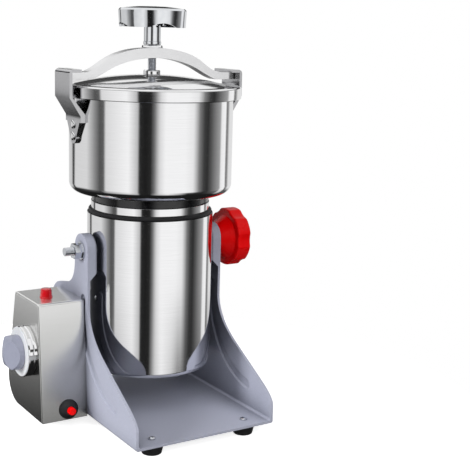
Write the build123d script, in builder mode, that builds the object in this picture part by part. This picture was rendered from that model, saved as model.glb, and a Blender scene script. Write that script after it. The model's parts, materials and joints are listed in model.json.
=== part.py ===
"""Electric grain mill: a clamped grinding bowl on a motor head that tilts between two sheet steel arms.

Millimetres, +Z up, +X is the operator's right and -Y is the front. Every piece is drawn around the
head's own axis (X = Y = 0) with the table at Z = 0. The last lines move all of them together, so that
the origin lies on the table under the middle of the whole mill.
"""

import os
from math import atan2, cos, sin, sqrt, tan

from build123d import *

# ---- fits -----------------------------------------------------------------------------------------
running_clearance = 0.05  # radial, a shaft that turns in its bore
hole_clearance = 0.25  # radial, a screw in its through hole
seat_gap = 0.3  # between neighbours that must not bind
cut_margin = 1.0  # a cut reaches this far past what it cuts
pick_margin = 0.1  # either side of a height or a width at which edges are chosen

# ---- base frame -----------------------------------------------------------------------------------
frame_sheet = 3.0
floor_front = -141.0
floor_rear = 90.0
bend_radius = 3.0
outer_bend_radius = 2.5
arm_gap = 2.0  # motor housing to arm
arm_thickness = 13.0
arm_half_width = 17.5
arm_head_edge = 3.5  # rounding of its inner face
arm_head_rise = 2.0  # the arm's round head is centred this far above the pivot
pivot_height = 207.0
boss_bottom = 174.0  # the thick arm head starts here
rib_width = 13.0
rib_top = (-5.0, 150.0)
rib_middle = (-38.0, 66.0)
rib_foot = (-88.0, 44.5)
rib_depth = 2.0
rib_draft = 42.0  # slope of its sides, in degrees from square

# ---- feet -----------------------------------------------------------------------------------------
foot_height = 13.0
foot_top_radius = 14.0
foot_bottom_radius = 11.0
foot_edge_radius = 1.5
foot_spread_x = 60.0
foot_inset_front = 19.0
foot_inset_rear = 20.0
foot_screw_depth = 9.0  # into the threaded insert moulded in the rubber

# ---- fasteners ------------------------------------------------------------------------------------
m4_radius = 2.0
m4_head_radius = 4.0
m4_head_height = 2.4
m5_radius = 2.5
m5_head_radius = 4.75
m5_head_height = 2.6
m10_radius = 5.0

# ---- motor housing and neck -----------------------------------------------------------------------
housing_radius = 74.0
housing_wall = 1.5
housing_bottom = 62.3
housing_corner = 6.0
neck_core_radius = 61.0
spacer_radius = 72.6
spacer_edge_radius = 2.0
spacer_height = 5.0
collar_radius = 69.6
collar_height = 8.6
shadow_gap_radius = 67.4
shadow_gap_height = 1.6
flange_radius = 69.0
flange_height = 9.8
neck_screw_circle = 64.5
neck_screw_count = 4
neck_screw_turn = 45.0
neck_screw_head_radius = 3.4
vent_slot_length = 16.0
vent_slot_width = 4.0
vent_circle = 48.0
vent_count = 16

# ---- motor ----------------------------------------------------------------------------------------
shield_radius = 54.0
shield_wall = 4.0
bell_window_width = 35.0  # four windows let the air through
commutator_to_stator = 17.0
stator_length = 55.0
yoke_wall = 8.0
air_gap = 0.5
armature_radius = 30.0
armature_slot_count = 12
armature_slot_depth = 3.0
armature_slot_width = 2.0
pole_shoe_depth = 4.5
pole_half_width = 15.0
pole_shoe_width = 52.0
pole_tip_gap = 30.5
coil_width = 6.5
coil_thickness = 4.5
coil_overhang = 11.0
armature_overhang = 1.5
winding_height = 10.0
winding_radius = 26.0
commutator_radius = 18.0
commutator_rise = 8.0  # over the lower shield's plate
commutator_length = 20.0
brush_width = 8.0
brush_height = 12.0
brush_length = 20.0
brush_air = 0.3
holder_wall = 2.0
holder_end = 57.0
fan_radius = 45.0
fan_rise = 17.0  # over the stator
fan_disc = 2.0
fan_height = 15.0
fan_hub_radius = 14.0
fan_blade = 2.0
fan_blade_root = 1.0  # sunk into the hub
fan_blade_count = 10
core_shaft_radius = 8.0
shaft_stub = 1.0  # below the lower bearing
shaft_chamfer = 1.0

# ---- bearings: bore radius, outer radius, width, ball radius --------------------------------------
lower_bearing = (5.0, 15.0, 9.0, 2.4)
upper_bearing = (7.5, 17.5, 11.0, 3.0)
bearing_ball_count = 8
race_share = 0.3  # each ring's share of the radial room
lower_shield_rise = 9.7  # over the housing's floor
lower_seat_floor = 3.0  # shield under the bearing
lower_plate = 6.0
lower_hub_radius = 24.0
upper_bell_height = 50.0  # over the stator
neck_root = 7.0  # from the upper shield's plate to the housing's top
seal_radius = 14.0

# ---- grinding bowl --------------------------------------------------------------------------------
bowl_radius = 95.0
bowl_wall = 1.5
bowl_height = 118.9
bowl_corner = 11.0
rim_width = 6.5
rim_height = 7.0
rim_edge_radius = 1.0
bowl_screw_circle = 45.0
bowl_screw_count = 6

# ---- blades ---------------------------------------------------------------------------------------
blade_count = 3
blade_turn = 60.0  # from one blade to the next
blade_reach = 80.0
blade_width = 26.0
blade_thickness = 3.0
blade_floor_gap = 5.5
blade_pitch = 10.0
blade_bevel = 8.0
tip_length = 22.0
tip_rise = 12.0
spindle_thread_radius = 6.0
blade_spacer_radius = 11.0
blade_nut_radius = 10.0
blade_nut_height = 8.0
blade_nut_stickout = 4.0

# ---- lid ------------------------------------------------------------------------------------------
lid_sheet = 1.5
skirt_clearance = 1.0
skirt_drop = 14.3
gasket_height = 3.5
dome_rise = 11.0
lid_seat_width = 14.0
lid_boss_radius = 9.8
lid_boss_height = 5.0
lid_boss_chamfer = 1.0

# ---- clamp bar and its brackets -------------------------------------------------------------------
bar_width = 16.0
bar_end_thickness = 8.4
bar_centre_thickness = 11.5
bar_overhang = 3.0  # past the lid's edge
bar_rise = 27.5  # crown over the ends' top
bar_end_length = 22.0  # the arch starts here
belly_start = 3.0  # the arch starts this much nearer the middle underneath
arch_shoulder = (25.0, 13.9)  # inwards and up from the arch's start
belly_shoulder = (27.0, 12.7)
arch_slope = 0.3
bar_nut_flange_radius = 12.5
bar_nut_flange_height = 2.8
bar_nut_flange_taper = 1.0
bar_nut_radius = 6.8
bracket_sheet = 3.5
hook_bend_radius = 5.0  # outside
bracket_half_width = 20.0
bracket_clearance = 1.0  # bar end to strap
hook_reach = 11.0
hook_rise = 13.8  # underside of the hook over the lid's edge
strap_lid_clearance = 0.9  # from the skirt's lower edge up to the bend
strap_slant = 20.5
plate_length = 31.5
plate_tip_radius = 8.0
plate_shoulder = 15.0
rivet_drops = (10.0, 23.0)  # below the strap's foot
rivet_radius = 2.5
rivet_head_radius = 5.0
rivet_head_height = 2.4
rivet_dome_radius = 1.9
rivet_inner_radius = 4.0
rivet_inner_height = 1.5

# ---- clamping handwheel ---------------------------------------------------------------------------
stem_radius = 10.3
cap_radius = 39.2
cap_taper = 1.2
cap_crown = 4.0
cap_height = 23.7
cap_flat = (23.5, 0.8)  # radius of the nearly flat top, and its fall
cap_edge = (2.0, 1.2, 1.0)  # of the rounded edge: width, rise and drop about the shoulder
cap_hub_rise = 2.0  # over the rim
stem_length = 20.0  # bare, under the cap
cap_wall = 2.5
cap_hub_radius = 14.0
cap_rib_count = 4
cap_rib_thickness = 2.5
cap_rib_drop = 10.0
scallop_count = 4
scallop_turn = -98.0
scallop_depth = 4.5
scallop_radius = 32.0

# ---- pivots and lock knob -------------------------------------------------------------------------
trunnion_radius = 14.0
trunnion_length = 12.0
trunnion_neck_radius = 8.0
pivot_nut_radius = 9.5
pivot_nut_height = 10.5
pivot_flange_radius = 10.5
pivot_flange = 1.6
pivot_stud_reach = 21.0  # past the arm
pivot_stud_end_radius = 4.0
lock_knob_radius = 35.5
lock_hub_length = 15.0
lock_knob_depth = 19.0
lock_knob_edge = 4.0
lock_knob_lobes = 6
lobe_turn = 0.0
lobe_cut_radius = 26.0
lobe_cut_depth = 2.2
lobe_edge_radius = 6.0
lock_hub_radius = 15.0  # against the arm
lock_hub_root = 27.0  # against the knob
lock_stud_grip = 10.0  # stud length inside the knob

# ---- control box ----------------------------------------------------------------------------------
box_depth = 57.0  # out from the side panel
box_sheet = 1.2
box_top = 151.0
box_bottom = 12.0
box_top_front = -8.0
box_top_rear = 62.0
box_bottom_front = -17.0
box_rear_foot = 96.0  # where the sloping rear wall would meet the bottom
box_rear_corner = 30.0
box_edge_radius = 2.5  # of the outer face's folds
box_fold_radius = 3.0  # of the top's folds
box_flange = 12.0
box_screw_inset = 6.5
box_screw_beside_rib = 17.0
box_screw_rises = (44.0, 48.0)  # front and rear, the lower pair, over the box's bottom

# ---- timer ----------------------------------------------------------------------------------------
timer_y = 20.0
timer_drop = 60.5  # below the box's top
timer_body_half = 22.0
timer_body_corner = 4.0
timer_body_depth = 24.0
collar_ring_radius = 29.5
collar_bore_radius = 24.0
collar_depth = 10.5
collar_notch = 5.6
collar_groove = 1.2
dial_thickness = 1.6
dial_inset = 1.0  # from the edge of the collar
timer_knob_radius = 20.0
timer_knob_skirt = 6.0
timer_grip_height = 13.0
timer_grip_nose = 2.0  # half width of the grip along its ridge
timer_shaft_radius = 3.0

# ---- power lamp, breaker, terminal block, cord inlet ----------------------------------------------
lamp_offset = 35.0  # out from the side panel
lamp_y = 20.0
lamp_base_radius = 7.5
lamp_top_radius = 6.3
lamp_height = 11.0
lamp_edge_radius = 1.5
lamp_body_radius = 5.0
lamp_body_length = 24.0
breaker_offset = 23.4  # out from the side panel
breaker_rise = 12.6  # over the box's bottom
boot_radius = 11.5
boot_depth = 6.5
boot_edge_radius = 3.9
breaker_thread_radius = 5.5
breaker_body_radius = 8.5
breaker_body_length = 22.0
reset_radius = 4.4
reset_stickout = 13.0
reset_travel = 2.5
reset_edge_radius = 1.2
terminal_size = (16.0, 34.0, 14.0)
terminal_y = 30.0
inlet_offset = 29.0  # out from the side panel
inlet_rise = 58.0  # over the box's bottom
inlet_flange_radius = 10.0
inlet_flange = 3.0
inlet_edge_radius = 1.0
inlet_body_radius = 7.5
inlet_tail = 8.0
inlet_bore_radius = 3.6

# ---- places worked out from the sizes above -------------------------------------------------------
arm_inner = housing_radius + arm_gap
frame_half = arm_inner + arm_thickness
floor_top = foot_height + frame_sheet
lower_shield_bottom = housing_bottom + lower_shield_rise
lower_bearing_bottom = lower_shield_bottom + lower_seat_floor
lower_shield_plate = lower_bearing_bottom + lower_bearing[2]
lower_shield_plate_top = lower_shield_plate + lower_plate
commutator_bottom = lower_shield_plate_top + commutator_rise
stator_bottom = commutator_bottom + commutator_length + commutator_to_stator
stator_top = stator_bottom + stator_length
fan_bottom = stator_top + fan_rise
upper_shield_plate = stator_top + upper_bell_height
housing_top = upper_shield_plate + neck_root
spacer_top = housing_top + spacer_height
collar_top = spacer_top + collar_height
flange_bottom = collar_top + shadow_gap_height
bowl_bottom = flange_bottom + flange_height
bowl_floor = bowl_bottom + bowl_wall
bowl_inner = bowl_radius - bowl_wall
bowl_top = bowl_bottom + bowl_height
rim_radius = bowl_radius + rim_width
gasket_top = bowl_top + gasket_height
lid_edge = gasket_top + lid_sheet
lid_radius = rim_radius + skirt_clearance + lid_sheet
lid_crown = lid_edge + dome_rise
skirt_bottom = lid_edge - skirt_drop
hook_height = lid_edge + hook_rise
strap_bend_height = skirt_bottom + strap_lid_clearance
strap_foot_height = strap_bend_height - strap_slant
plate_bottom = strap_foot_height - plate_length
rivet_heights = [strap_foot_height - drop for drop in rivet_drops]
plate_shoulder_height = max(rivet_heights)
bar_end_radius = lid_radius + bar_overhang  # the bar's end is round about the head axis
bar_end_flat = bar_end_radius - bar_end_length
bar_crown = hook_height + bar_rise
stem_bottom = bar_crown + bar_nut_flange_height + seat_gap
cap_top = stem_bottom + stem_length + cap_height
pivot_bore = m10_radius + running_clearance
shaft_shoulder = bowl_floor + blade_floor_gap
box_outer = frame_half + box_depth
timer_z = box_top - timer_drop
lamp_x = -frame_half - lamp_offset
breaker_x = -frame_half - breaker_offset
breaker_z = box_bottom + breaker_rise
inlet_x = -frame_half - inlet_offset
inlet_height = box_bottom + inlet_rise
box_screw_heights = [box_bottom + rise for rise in box_screw_rises]
lock_knob_back = frame_half + lock_hub_length
pivot_stud_tip = frame_half + pivot_stud_reach
lobe_cut_circle = lock_knob_radius + lobe_cut_radius - lobe_cut_depth
pieces = []  # every finished piece, in order of assembly


def finish(builder, label):
    """Label a finished piece and put it on the list that is written at the end."""
    builder.part.label = label
    pieces.append(builder.part)


def turned(*half_profile, plane=Plane.XZ):
    """Turn a part from its half profile, (radius, height) points. The axis is the plane's own Y."""
    with BuildPart() as work:
        with BuildSketch(plane):
            with BuildLine():
                Polyline(*half_profile, close=True)
            make_face()
        revolve(axis=Axis(plane.origin, plane.y_dir))
    return work


def tube(inner_radius, outer_radius, bottom, top):
    """A plain ring about the head axis."""
    return turned((inner_radius, bottom), (outer_radius, bottom), (outer_radius, top), (inner_radius, top))


def pan_screw(radius, head_radius, head_height, length):
    """A pan head screw: its seat at Z = 0, its shank down -Z."""
    with BuildPart() as screw:
        Cylinder(radius, length, align=(Align.CENTER, Align.CENTER, Align.MAX))
        Cylinder(head_radius, head_height, align=(Align.CENTER, Align.CENTER, Align.MIN))
        fillet(screw.edges().filter_by(GeomType.CIRCLE).sort_by(Axis.Z)[-1], head_height / 2)
    return screw.part


def hex_nut(radius, height, bore_radius):
    """A hexagon nut: its seat at Z = 0, standing up +Z."""
    with BuildPart() as nut:
        with BuildSketch():
            RegularPolygon(radius, 6)
            Circle(bore_radius, mode=Mode.SUBTRACT)
        extrude(amount=height)
    return nut.part


# ---- base frame: folded sheet steel with two arms, their heads thickened by welded bosses ---------
nose_height = 34.0  # the front edge starts to lean back here
nose_end = (-118.0, 56.0)
slope_end = (-60.0, 87.5)
panel_line_slope = (slope_end[1] - nose_end[1]) / (slope_end[0] - nose_end[0])
front_neck = 140.0  # the front edge runs up the arm from here
rear_neck = 195.0
rear_neck_aim = 165.0  # the curve from the arm down to the shoulder is drawn towards this height
shoulder_front = (42.0, 161.0)
shoulder_rear = (62.0, 157.0)
shoulder_corner = (80.0, 154.0)
rear_corner_height = 130.0


def front_line_height(y):
    """Height at y of the straight line that the sloping front edge lies on."""
    return nose_end[1] + (y - nose_end[0]) * panel_line_slope


arm_head_centre = pivot_height + arm_head_rise
with BuildPart() as side_panel:
    with BuildSketch(Plane.YZ.offset(frame_half - frame_sheet)):
        with BuildLine():
            Line((floor_rear, foot_height), (floor_front, foot_height))
            Line((floor_front, foot_height), (floor_front, nose_height))
            Bezier((floor_front, nose_height), (floor_front, front_line_height(floor_front)), nose_end)
            Line(nose_end, slope_end)
            Bezier(
                slope_end,
                (-arm_half_width, front_line_height(-arm_half_width)),
                (-arm_half_width, front_neck),
            )
            Line((-arm_half_width, front_neck), (-arm_half_width, arm_head_centre))
            RadiusArc((-arm_half_width, arm_head_centre), (arm_half_width, arm_head_centre), arm_half_width)
            Line((arm_half_width, arm_head_centre), (arm_half_width, rear_neck))
            Bezier((arm_half_width, rear_neck), (arm_half_width, rear_neck_aim), shoulder_front)
            Line(shoulder_front, shoulder_rear)
            Bezier(shoulder_rear, shoulder_corner, (floor_rear, rear_corner_height))
            Line((floor_rear, rear_corner_height), (floor_rear, foot_height))
        make_face()
    extrude(amount=frame_sheet)

with BuildPart() as arm_head:
    with BuildSketch(Plane.YZ.offset(arm_inner)):
        with Locations((0, arm_head_centre)):
            Circle(arm_half_width)
        with Locations((0, boss_bottom)):
            Rectangle(2 * arm_half_width, arm_head_centre - boss_bottom, align=(Align.CENTER, Align.MIN))
    extrude(amount=arm_thickness)
    lower_edge = arm_head.edges().filter_by(Axis.Y).group_by(Axis.Z)[0].sort_by(Axis.X)[0]
    chamfer(lower_edge, arm_thickness - frame_sheet)
    fillet(arm_head.faces().sort_by(Axis.X)[0].edges(), arm_head_edge)

with BuildSketch() as rib_outline:
    SlotArc(ThreePointArc(rib_top, rib_middle, rib_foot), rib_width)

rear_lean = atan2(box_rear_foot - box_top_rear, box_top - box_bottom)
front_lean = atan2(box_top_front - box_bottom_front, box_top - box_bottom)


def box_rear(height):
    """Where the box's rear wall stands at a height."""
    return box_rear_foot - (height - box_bottom) * tan(rear_lean)


def box_front(height):
    """Where the box's front wall stands at a height."""
    return box_bottom_front + (height - box_bottom) * tan(front_lean)


foot_places = [
    (side * foot_spread_x, y)
    for side in (-1, 1)
    for y in (floor_front + foot_inset_front, floor_rear - foot_inset_rear)
]
box_screw_places = [
    (box_top_front + box_screw_beside_rib, box_top - box_screw_inset),
    (box_top_rear - box_screw_inset, box_top - box_screw_inset),
    (box_front(box_screw_heights[0]) + box_screw_inset, box_screw_heights[0]),
    (box_rear(box_screw_heights[1]) - box_screw_inset, box_screw_heights[1]),
]
with BuildPart() as base_frame:
    with BuildSketch(Plane.XY.offset(foot_height)):
        with Locations((0, (floor_front + floor_rear) / 2)):
            Rectangle(2 * frame_half - frame_sheet, floor_rear - floor_front)
        with Locations(*foot_places):
            Circle(m4_radius + hole_clearance, mode=Mode.SUBTRACT)
    extrude(amount=frame_sheet)
    for side in (side_panel.part, arm_head.part):
        add(side)
        add(mirror(side, about=Plane.YZ))
    inside_corners = (
        base_frame.edges()
        .filter_by(Axis.Y)
        .filter_by_position(Axis.Z, floor_top - pick_margin, floor_top + pick_margin)
        .filter_by_position(Axis.X, -frame_half + pick_margin, frame_half - pick_margin)
    )
    fillet(inside_corners, bend_radius)
    outside_corners = (
        base_frame.edges()
        .filter_by(Axis.Y)
        .filter_by_position(Axis.Z, foot_height - pick_margin, foot_height + pick_margin)
    )
    fillet(outside_corners, outer_bend_radius)
    for panel_left_face in (-frame_half, frame_half - frame_sheet):
        with BuildSketch(Plane.YZ.offset(panel_left_face + frame_sheet)):
            add(rib_outline.sketch)
        extrude(amount=rib_depth, taper=rib_draft)
        with BuildSketch(Plane.YZ.offset(panel_left_face)):
            add(rib_outline.sketch)
        extrude(amount=rib_depth, taper=rib_draft, mode=Mode.SUBTRACT)
    with BuildSketch(Plane.YZ.offset(-frame_half)):
        with Locations((0, pivot_height)):
            Circle(pivot_bore)
    extrude(amount=2 * frame_half, mode=Mode.SUBTRACT)
    with BuildSketch(Plane.YZ.offset(-frame_half)):
        with Locations(*box_screw_places):
            Circle(m4_radius + hole_clearance)
    extrude(amount=frame_sheet, mode=Mode.SUBTRACT)
finish(base_frame, "base_frame")

# ---- feet: rubber cones, each held by a screw from above into its moulded-in thread ---------------
with BuildPart() as rubber_foot:
    Cone(foot_bottom_radius, foot_top_radius, foot_height, align=(Align.CENTER, Align.CENTER, Align.MIN))
    fillet(rubber_foot.edges().filter_by(GeomType.CIRCLE).sort_by(Axis.Z)[0], foot_edge_radius)
    with Locations((0, 0, foot_height)):
        hanging = (Align.CENTER, Align.CENTER, Align.MAX)
        Cylinder(m4_radius, foot_screw_depth, align=hanging, mode=Mode.SUBTRACT)
foot_screw = pan_screw(m4_radius, m4_head_radius, m4_head_height, frame_sheet + foot_screw_depth)
with BuildPart() as rubber_feet:
    with Locations(*foot_places):
        add(rubber_foot.part)
finish(rubber_feet, "rubber_feet")
with BuildPart() as foot_screws:
    with Locations(*[(x, y, floor_top) for x, y in foot_places]):
        add(foot_screw)
finish(foot_screws, "foot_screws")

# ---- control box: a folded stainless case, screwed to the left side panel by its turned-in flange -
with BuildSketch() as box_outline:
    with BuildLine():
        Polyline(
            (box_bottom_front, box_bottom),
            (box_top_front, box_top),
            (box_top_rear, box_top),
            (box_rear_foot, box_bottom),
            close=True,
        )
    make_face()
    fillet(box_outline.vertices().sort_by(Axis.X)[-1], box_rear_corner)
    fillet(box_outline.vertices().sort_by(Axis.Y)[-2:], box_fold_radius)
with BuildSketch() as box_cavity:
    offset(box_outline.sketch, -box_sheet, kind=Kind.INTERSECTION)
with BuildSketch() as box_mouth:
    offset(box_outline.sketch, -box_flange, kind=Kind.INTERSECTION)
breaker_plane = Plane((breaker_x, box_front(breaker_z), breaker_z), x_dir=(1, 0, 0),
                      z_dir=(0, -cos(front_lean), sin(front_lean)))
inlet_plane = Plane((inlet_x, box_rear(inlet_height), inlet_height), x_dir=(1, 0, 0),
                    z_dir=(0, cos(rear_lean), sin(rear_lean)))
with BuildPart() as control_box:
    with BuildSketch(Plane.YZ.offset(-box_outer)):
        add(box_outline.sketch)
    extrude(amount=box_depth)
    fillet(control_box.faces().sort_by(Axis.X)[0].edges(), box_edge_radius)
    with BuildSketch(Plane.YZ.offset(-box_outer + box_sheet)):
        add(box_cavity.sketch)
    extrude(amount=box_depth - 2 * box_sheet, mode=Mode.SUBTRACT)
    with BuildSketch(Plane.YZ.offset(-frame_half - box_sheet)):
        add(box_mouth.sketch)
    extrude(amount=box_sheet, mode=Mode.SUBTRACT)
    with BuildSketch(Plane.YZ.offset(-frame_half - box_sheet)):
        with Locations(*box_screw_places):
            Circle(m4_radius)
    extrude(amount=box_sheet, mode=Mode.SUBTRACT)
    with BuildSketch(Plane.YZ.offset(-box_outer)):
        with Locations((timer_y, timer_z)):
            Circle(timer_shaft_radius + running_clearance)
    extrude(amount=box_sheet, mode=Mode.SUBTRACT)
    with BuildSketch(Plane.XY.offset(box_top - box_sheet)):
        with Locations((lamp_x, lamp_y)):
            Circle(lamp_body_radius)
    extrude(amount=box_sheet, mode=Mode.SUBTRACT)
    with BuildSketch(breaker_plane):
        Circle(breaker_thread_radius)
    extrude(amount=-2 * box_sheet, mode=Mode.SUBTRACT)
    with BuildSketch(inlet_plane):
        Circle(inlet_body_radius)
    extrude(amount=-2 * box_sheet, mode=Mode.SUBTRACT)
finish(control_box, "control_box")

box_screw = pan_screw(m4_radius, m4_head_radius, m4_head_height, frame_sheet + 3 * box_sheet)
with BuildPart() as box_screws:
    for y, z in box_screw_places:
        with Locations(Location((-frame_half + frame_sheet, y, z), (0, 90, 0))):
            add(box_screw)
finish(box_screws, "box_screws")

# ---- timer: clockwork inside, polished double collar, white dial, and the knob on its shaft -------
with BuildPart() as timer_body:
    with BuildSketch(Plane.YZ.offset(-box_outer + box_sheet)):
        with Locations((timer_y, timer_z)):
            RectangleRounded(2 * timer_body_half, 2 * timer_body_half, timer_body_corner)
            Circle(timer_shaft_radius + running_clearance, mode=Mode.SUBTRACT)
    extrude(amount=timer_body_depth)
finish(timer_body, "timer_body")

timer_plane = Plane((-box_outer, timer_y, timer_z), x_dir=(0, 0, 1), z_dir=(0, -1, 0))
with BuildPart() as timer_collar:
    add(turned(
        (collar_bore_radius, 0),
        (collar_ring_radius - collar_groove, 0),
        (collar_ring_radius, collar_groove),
        (collar_ring_radius, collar_depth / 2 - collar_groove),
        (collar_ring_radius - collar_groove, collar_depth / 2),
        (collar_ring_radius, collar_depth / 2 + collar_groove),
        (collar_ring_radius, collar_depth - collar_groove),
        (collar_ring_radius - collar_groove, collar_depth),
        (collar_bore_radius, collar_depth),
        plane=timer_plane,
    ).part)
    with BuildSketch(Plane.YZ.offset(-box_outer - collar_depth)):
        with Locations((timer_y, timer_z)):
            Rectangle(collar_ring_radius, collar_notch, align=(Align.MAX, Align.CENTER))
    extrude(amount=collar_depth, mode=Mode.SUBTRACT)
finish(timer_collar, "timer_collar")

dial_face = -box_outer - collar_depth - dial_thickness
with BuildPart() as timer_dial:
    with BuildSketch(Plane.YZ.offset(dial_face)):
        with Locations((timer_y, timer_z)):
            Circle(collar_ring_radius - dial_inset)
            Circle(timer_shaft_radius + running_clearance, mode=Mode.SUBTRACT)
    extrude(amount=dial_thickness)
    with BuildSketch(Plane.YZ.offset(-box_outer - collar_depth)):
        with Locations((timer_y, timer_z)):
            Circle(collar_bore_radius)
            Circle(timer_shaft_radius + running_clearance, mode=Mode.SUBTRACT)
    extrude(amount=collar_depth)
finish(timer_dial, "timer_dial")

knob_back = dial_face - seat_gap
knob_front = knob_back - timer_knob_skirt - timer_grip_height
with BuildPart() as timer_knob:
    with BuildSketch(Plane.XY.offset(timer_z - timer_knob_radius)):
        with BuildLine():
            Polyline(
                (knob_back, timer_y - timer_knob_radius),
                (knob_back - timer_knob_skirt, timer_y - timer_knob_radius),
                (knob_front, timer_y - timer_grip_nose),
                (knob_front, timer_y + timer_grip_nose),
                (knob_back - timer_knob_skirt, timer_y + timer_knob_radius),
                (knob_back, timer_y + timer_knob_radius),
                close=True,
            )
        make_face()
    extrude(amount=2 * timer_knob_radius)
    with BuildSketch(Plane.YZ.offset(knob_back)):
        with Locations((timer_y, timer_z)):
            Circle(timer_knob_radius)
    extrude(amount=knob_front - knob_back, mode=Mode.INTERSECT)
    with BuildSketch(Plane.XZ.offset(-timer_y)):
        with Locations((knob_back - timer_knob_skirt, timer_z)):
            Ellipse(timer_grip_height, timer_knob_radius)
            Rectangle(timer_knob_skirt, 2 * timer_knob_radius, align=(Align.MIN, Align.CENTER))
    extrude(amount=timer_knob_radius, both=True, mode=Mode.INTERSECT)
    with BuildSketch(Plane.YZ.offset(knob_back)):
        with Locations((timer_y, timer_z)):
            Circle(timer_shaft_radius)
    extrude(amount=-timer_knob_skirt, mode=Mode.SUBTRACT)
finish(timer_knob, "timer_knob")

timer_shaft_outer_end = knob_back - timer_knob_skirt
timer_shaft_inner_end = -box_outer + box_sheet + timer_body_depth / 2
with BuildPart() as timer_shaft:
    with BuildSketch(Plane.YZ.offset(timer_shaft_outer_end)):
        with Locations((timer_y, timer_z)):
            Circle(timer_shaft_radius)
    extrude(amount=timer_shaft_inner_end - timer_shaft_outer_end)
finish(timer_shaft, "timer_shaft")

# ---- power lamp: red lens on top of the box, its threaded body clipped through the sheet ----------
with BuildPart() as lamp_lens:
    with BuildSketch(Plane.XY.offset(box_top)):
        with Locations((lamp_x, lamp_y)):
            Circle(lamp_base_radius)
    with BuildSketch(Plane.XY.offset(box_top + lamp_height)):
        with Locations((lamp_x, lamp_y)):
            Circle(lamp_top_radius)
    loft()
    fillet(lamp_lens.edges().filter_by(GeomType.CIRCLE).sort_by(Axis.Z)[-1], lamp_edge_radius)
finish(lamp_lens, "lamp_lens")
with BuildPart() as lamp_body:
    with Locations((lamp_x, lamp_y, box_top)):
        Cylinder(lamp_body_radius, lamp_body_length, align=(Align.CENTER, Align.CENTER, Align.MAX))
    with Locations((lamp_x, lamp_y, box_top - box_sheet)):
        Cylinder(lamp_base_radius, 2 * box_sheet, align=(Align.CENTER, Align.CENTER, Align.MAX))
finish(lamp_body, "lamp_body")

# ---- overload breaker: body inside, rubber boot outside, red reset button through both ------------
reset_bore = reset_radius + running_clearance
reset_hidden = breaker_body_length / 3
with BuildPart() as breaker_body:
    with BuildSketch(breaker_plane):
        Circle(breaker_thread_radius)
    extrude(amount=-box_sheet)
    with BuildSketch(breaker_plane.offset(-box_sheet)):
        Circle(breaker_body_radius)
    extrude(amount=-breaker_body_length)
    with BuildSketch(breaker_plane):
        Circle(reset_bore)
    extrude(amount=-reset_hidden - reset_travel - seat_gap, mode=Mode.SUBTRACT)
finish(breaker_body, "breaker_body")
with BuildPart() as breaker_boot:
    with BuildSketch(breaker_plane):
        Circle(boot_radius)
    extrude(amount=boot_depth)
    fillet(breaker_boot.edges().filter_by(GeomType.CIRCLE).sort_by(Axis.Y)[0], boot_edge_radius)
    with BuildSketch(breaker_plane):
        Circle(reset_bore)
    extrude(amount=boot_depth, mode=Mode.SUBTRACT)
finish(breaker_boot, "breaker_boot")
with BuildPart() as reset_button:
    with BuildSketch(breaker_plane.offset(-reset_hidden)):
        Circle(reset_radius)
    extrude(amount=reset_hidden + reset_stickout)
    fillet(reset_button.edges().filter_by(GeomType.CIRCLE).sort_by(Axis.Y)[0], reset_edge_radius)
finish(reset_button, "reset_button")

# ---- terminal block on the box's outer wall, and the cord's inlet in its rear wall ----------------
with BuildPart() as terminal_block:
    with Locations((-box_outer + box_sheet, terminal_y, box_bottom + box_flange)):
        Box(*terminal_size, align=(Align.MIN, Align.CENTER, Align.MIN))
finish(terminal_block, "terminal_block")
with BuildPart() as cord_inlet:
    with BuildSketch(inlet_plane):
        Circle(inlet_flange_radius)
    extrude(amount=inlet_flange)
    fillet(cord_inlet.edges().filter_by(GeomType.CIRCLE).sort_by(Axis.Y)[-1], inlet_edge_radius)
    with BuildSketch(inlet_plane):
        Circle(inlet_body_radius)
    extrude(amount=-inlet_tail)
    with BuildSketch(inlet_plane.offset(inlet_flange)):
        Circle(inlet_bore_radius)
    extrude(amount=-inlet_flange - inlet_tail, mode=Mode.SUBTRACT)
finish(cord_inlet, "cord_inlet")

# ---- motor housing: a polished stainless can with a turned-in lip on top and slots in its floor ---
wall_inner = housing_radius - housing_wall
lip_inner = neck_core_radius + seat_gap
with BuildPart() as motor_housing:
    with BuildSketch(Plane.XZ):
        with BuildLine():
            outer_line = FilletPolyline(
                (0, housing_bottom),
                (housing_radius, housing_bottom),
                (housing_radius, housing_top),
                radius=housing_corner,
            )
            Polyline(outer_line @ 1, (lip_inner, housing_top), (lip_inner, housing_top - housing_wall),
                     (wall_inner, housing_top - housing_wall))
            inner_line = FilletPolyline(
                (wall_inner, housing_top - housing_wall),
                (wall_inner, housing_bottom + housing_wall),
                (0, housing_bottom + housing_wall),
                radius=housing_corner - housing_wall,
            )
            Line(inner_line @ 1, outer_line @ 0)
        make_face()
    revolve(axis=Axis.Z)
    with BuildSketch(Plane.XY.offset(housing_bottom)):
        with PolarLocations(vent_circle, vent_count):
            SlotOverall(vent_slot_length, vent_slot_width)
    extrude(amount=housing_wall, mode=Mode.SUBTRACT)
    with BuildSketch(Plane.YZ.offset(-housing_radius)):
        with Locations((0, pivot_height)):
            Circle(trunnion_neck_radius)
    extrude(amount=2 * housing_radius, mode=Mode.SUBTRACT)
    with BuildSketch(Plane.XY.offset(housing_top - housing_wall)):
        with PolarLocations(neck_screw_circle, neck_screw_count, neck_screw_turn):
            Circle(m4_radius + hole_clearance)
    extrude(amount=housing_wall, mode=Mode.SUBTRACT)
finish(motor_housing, "motor_housing")

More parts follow.
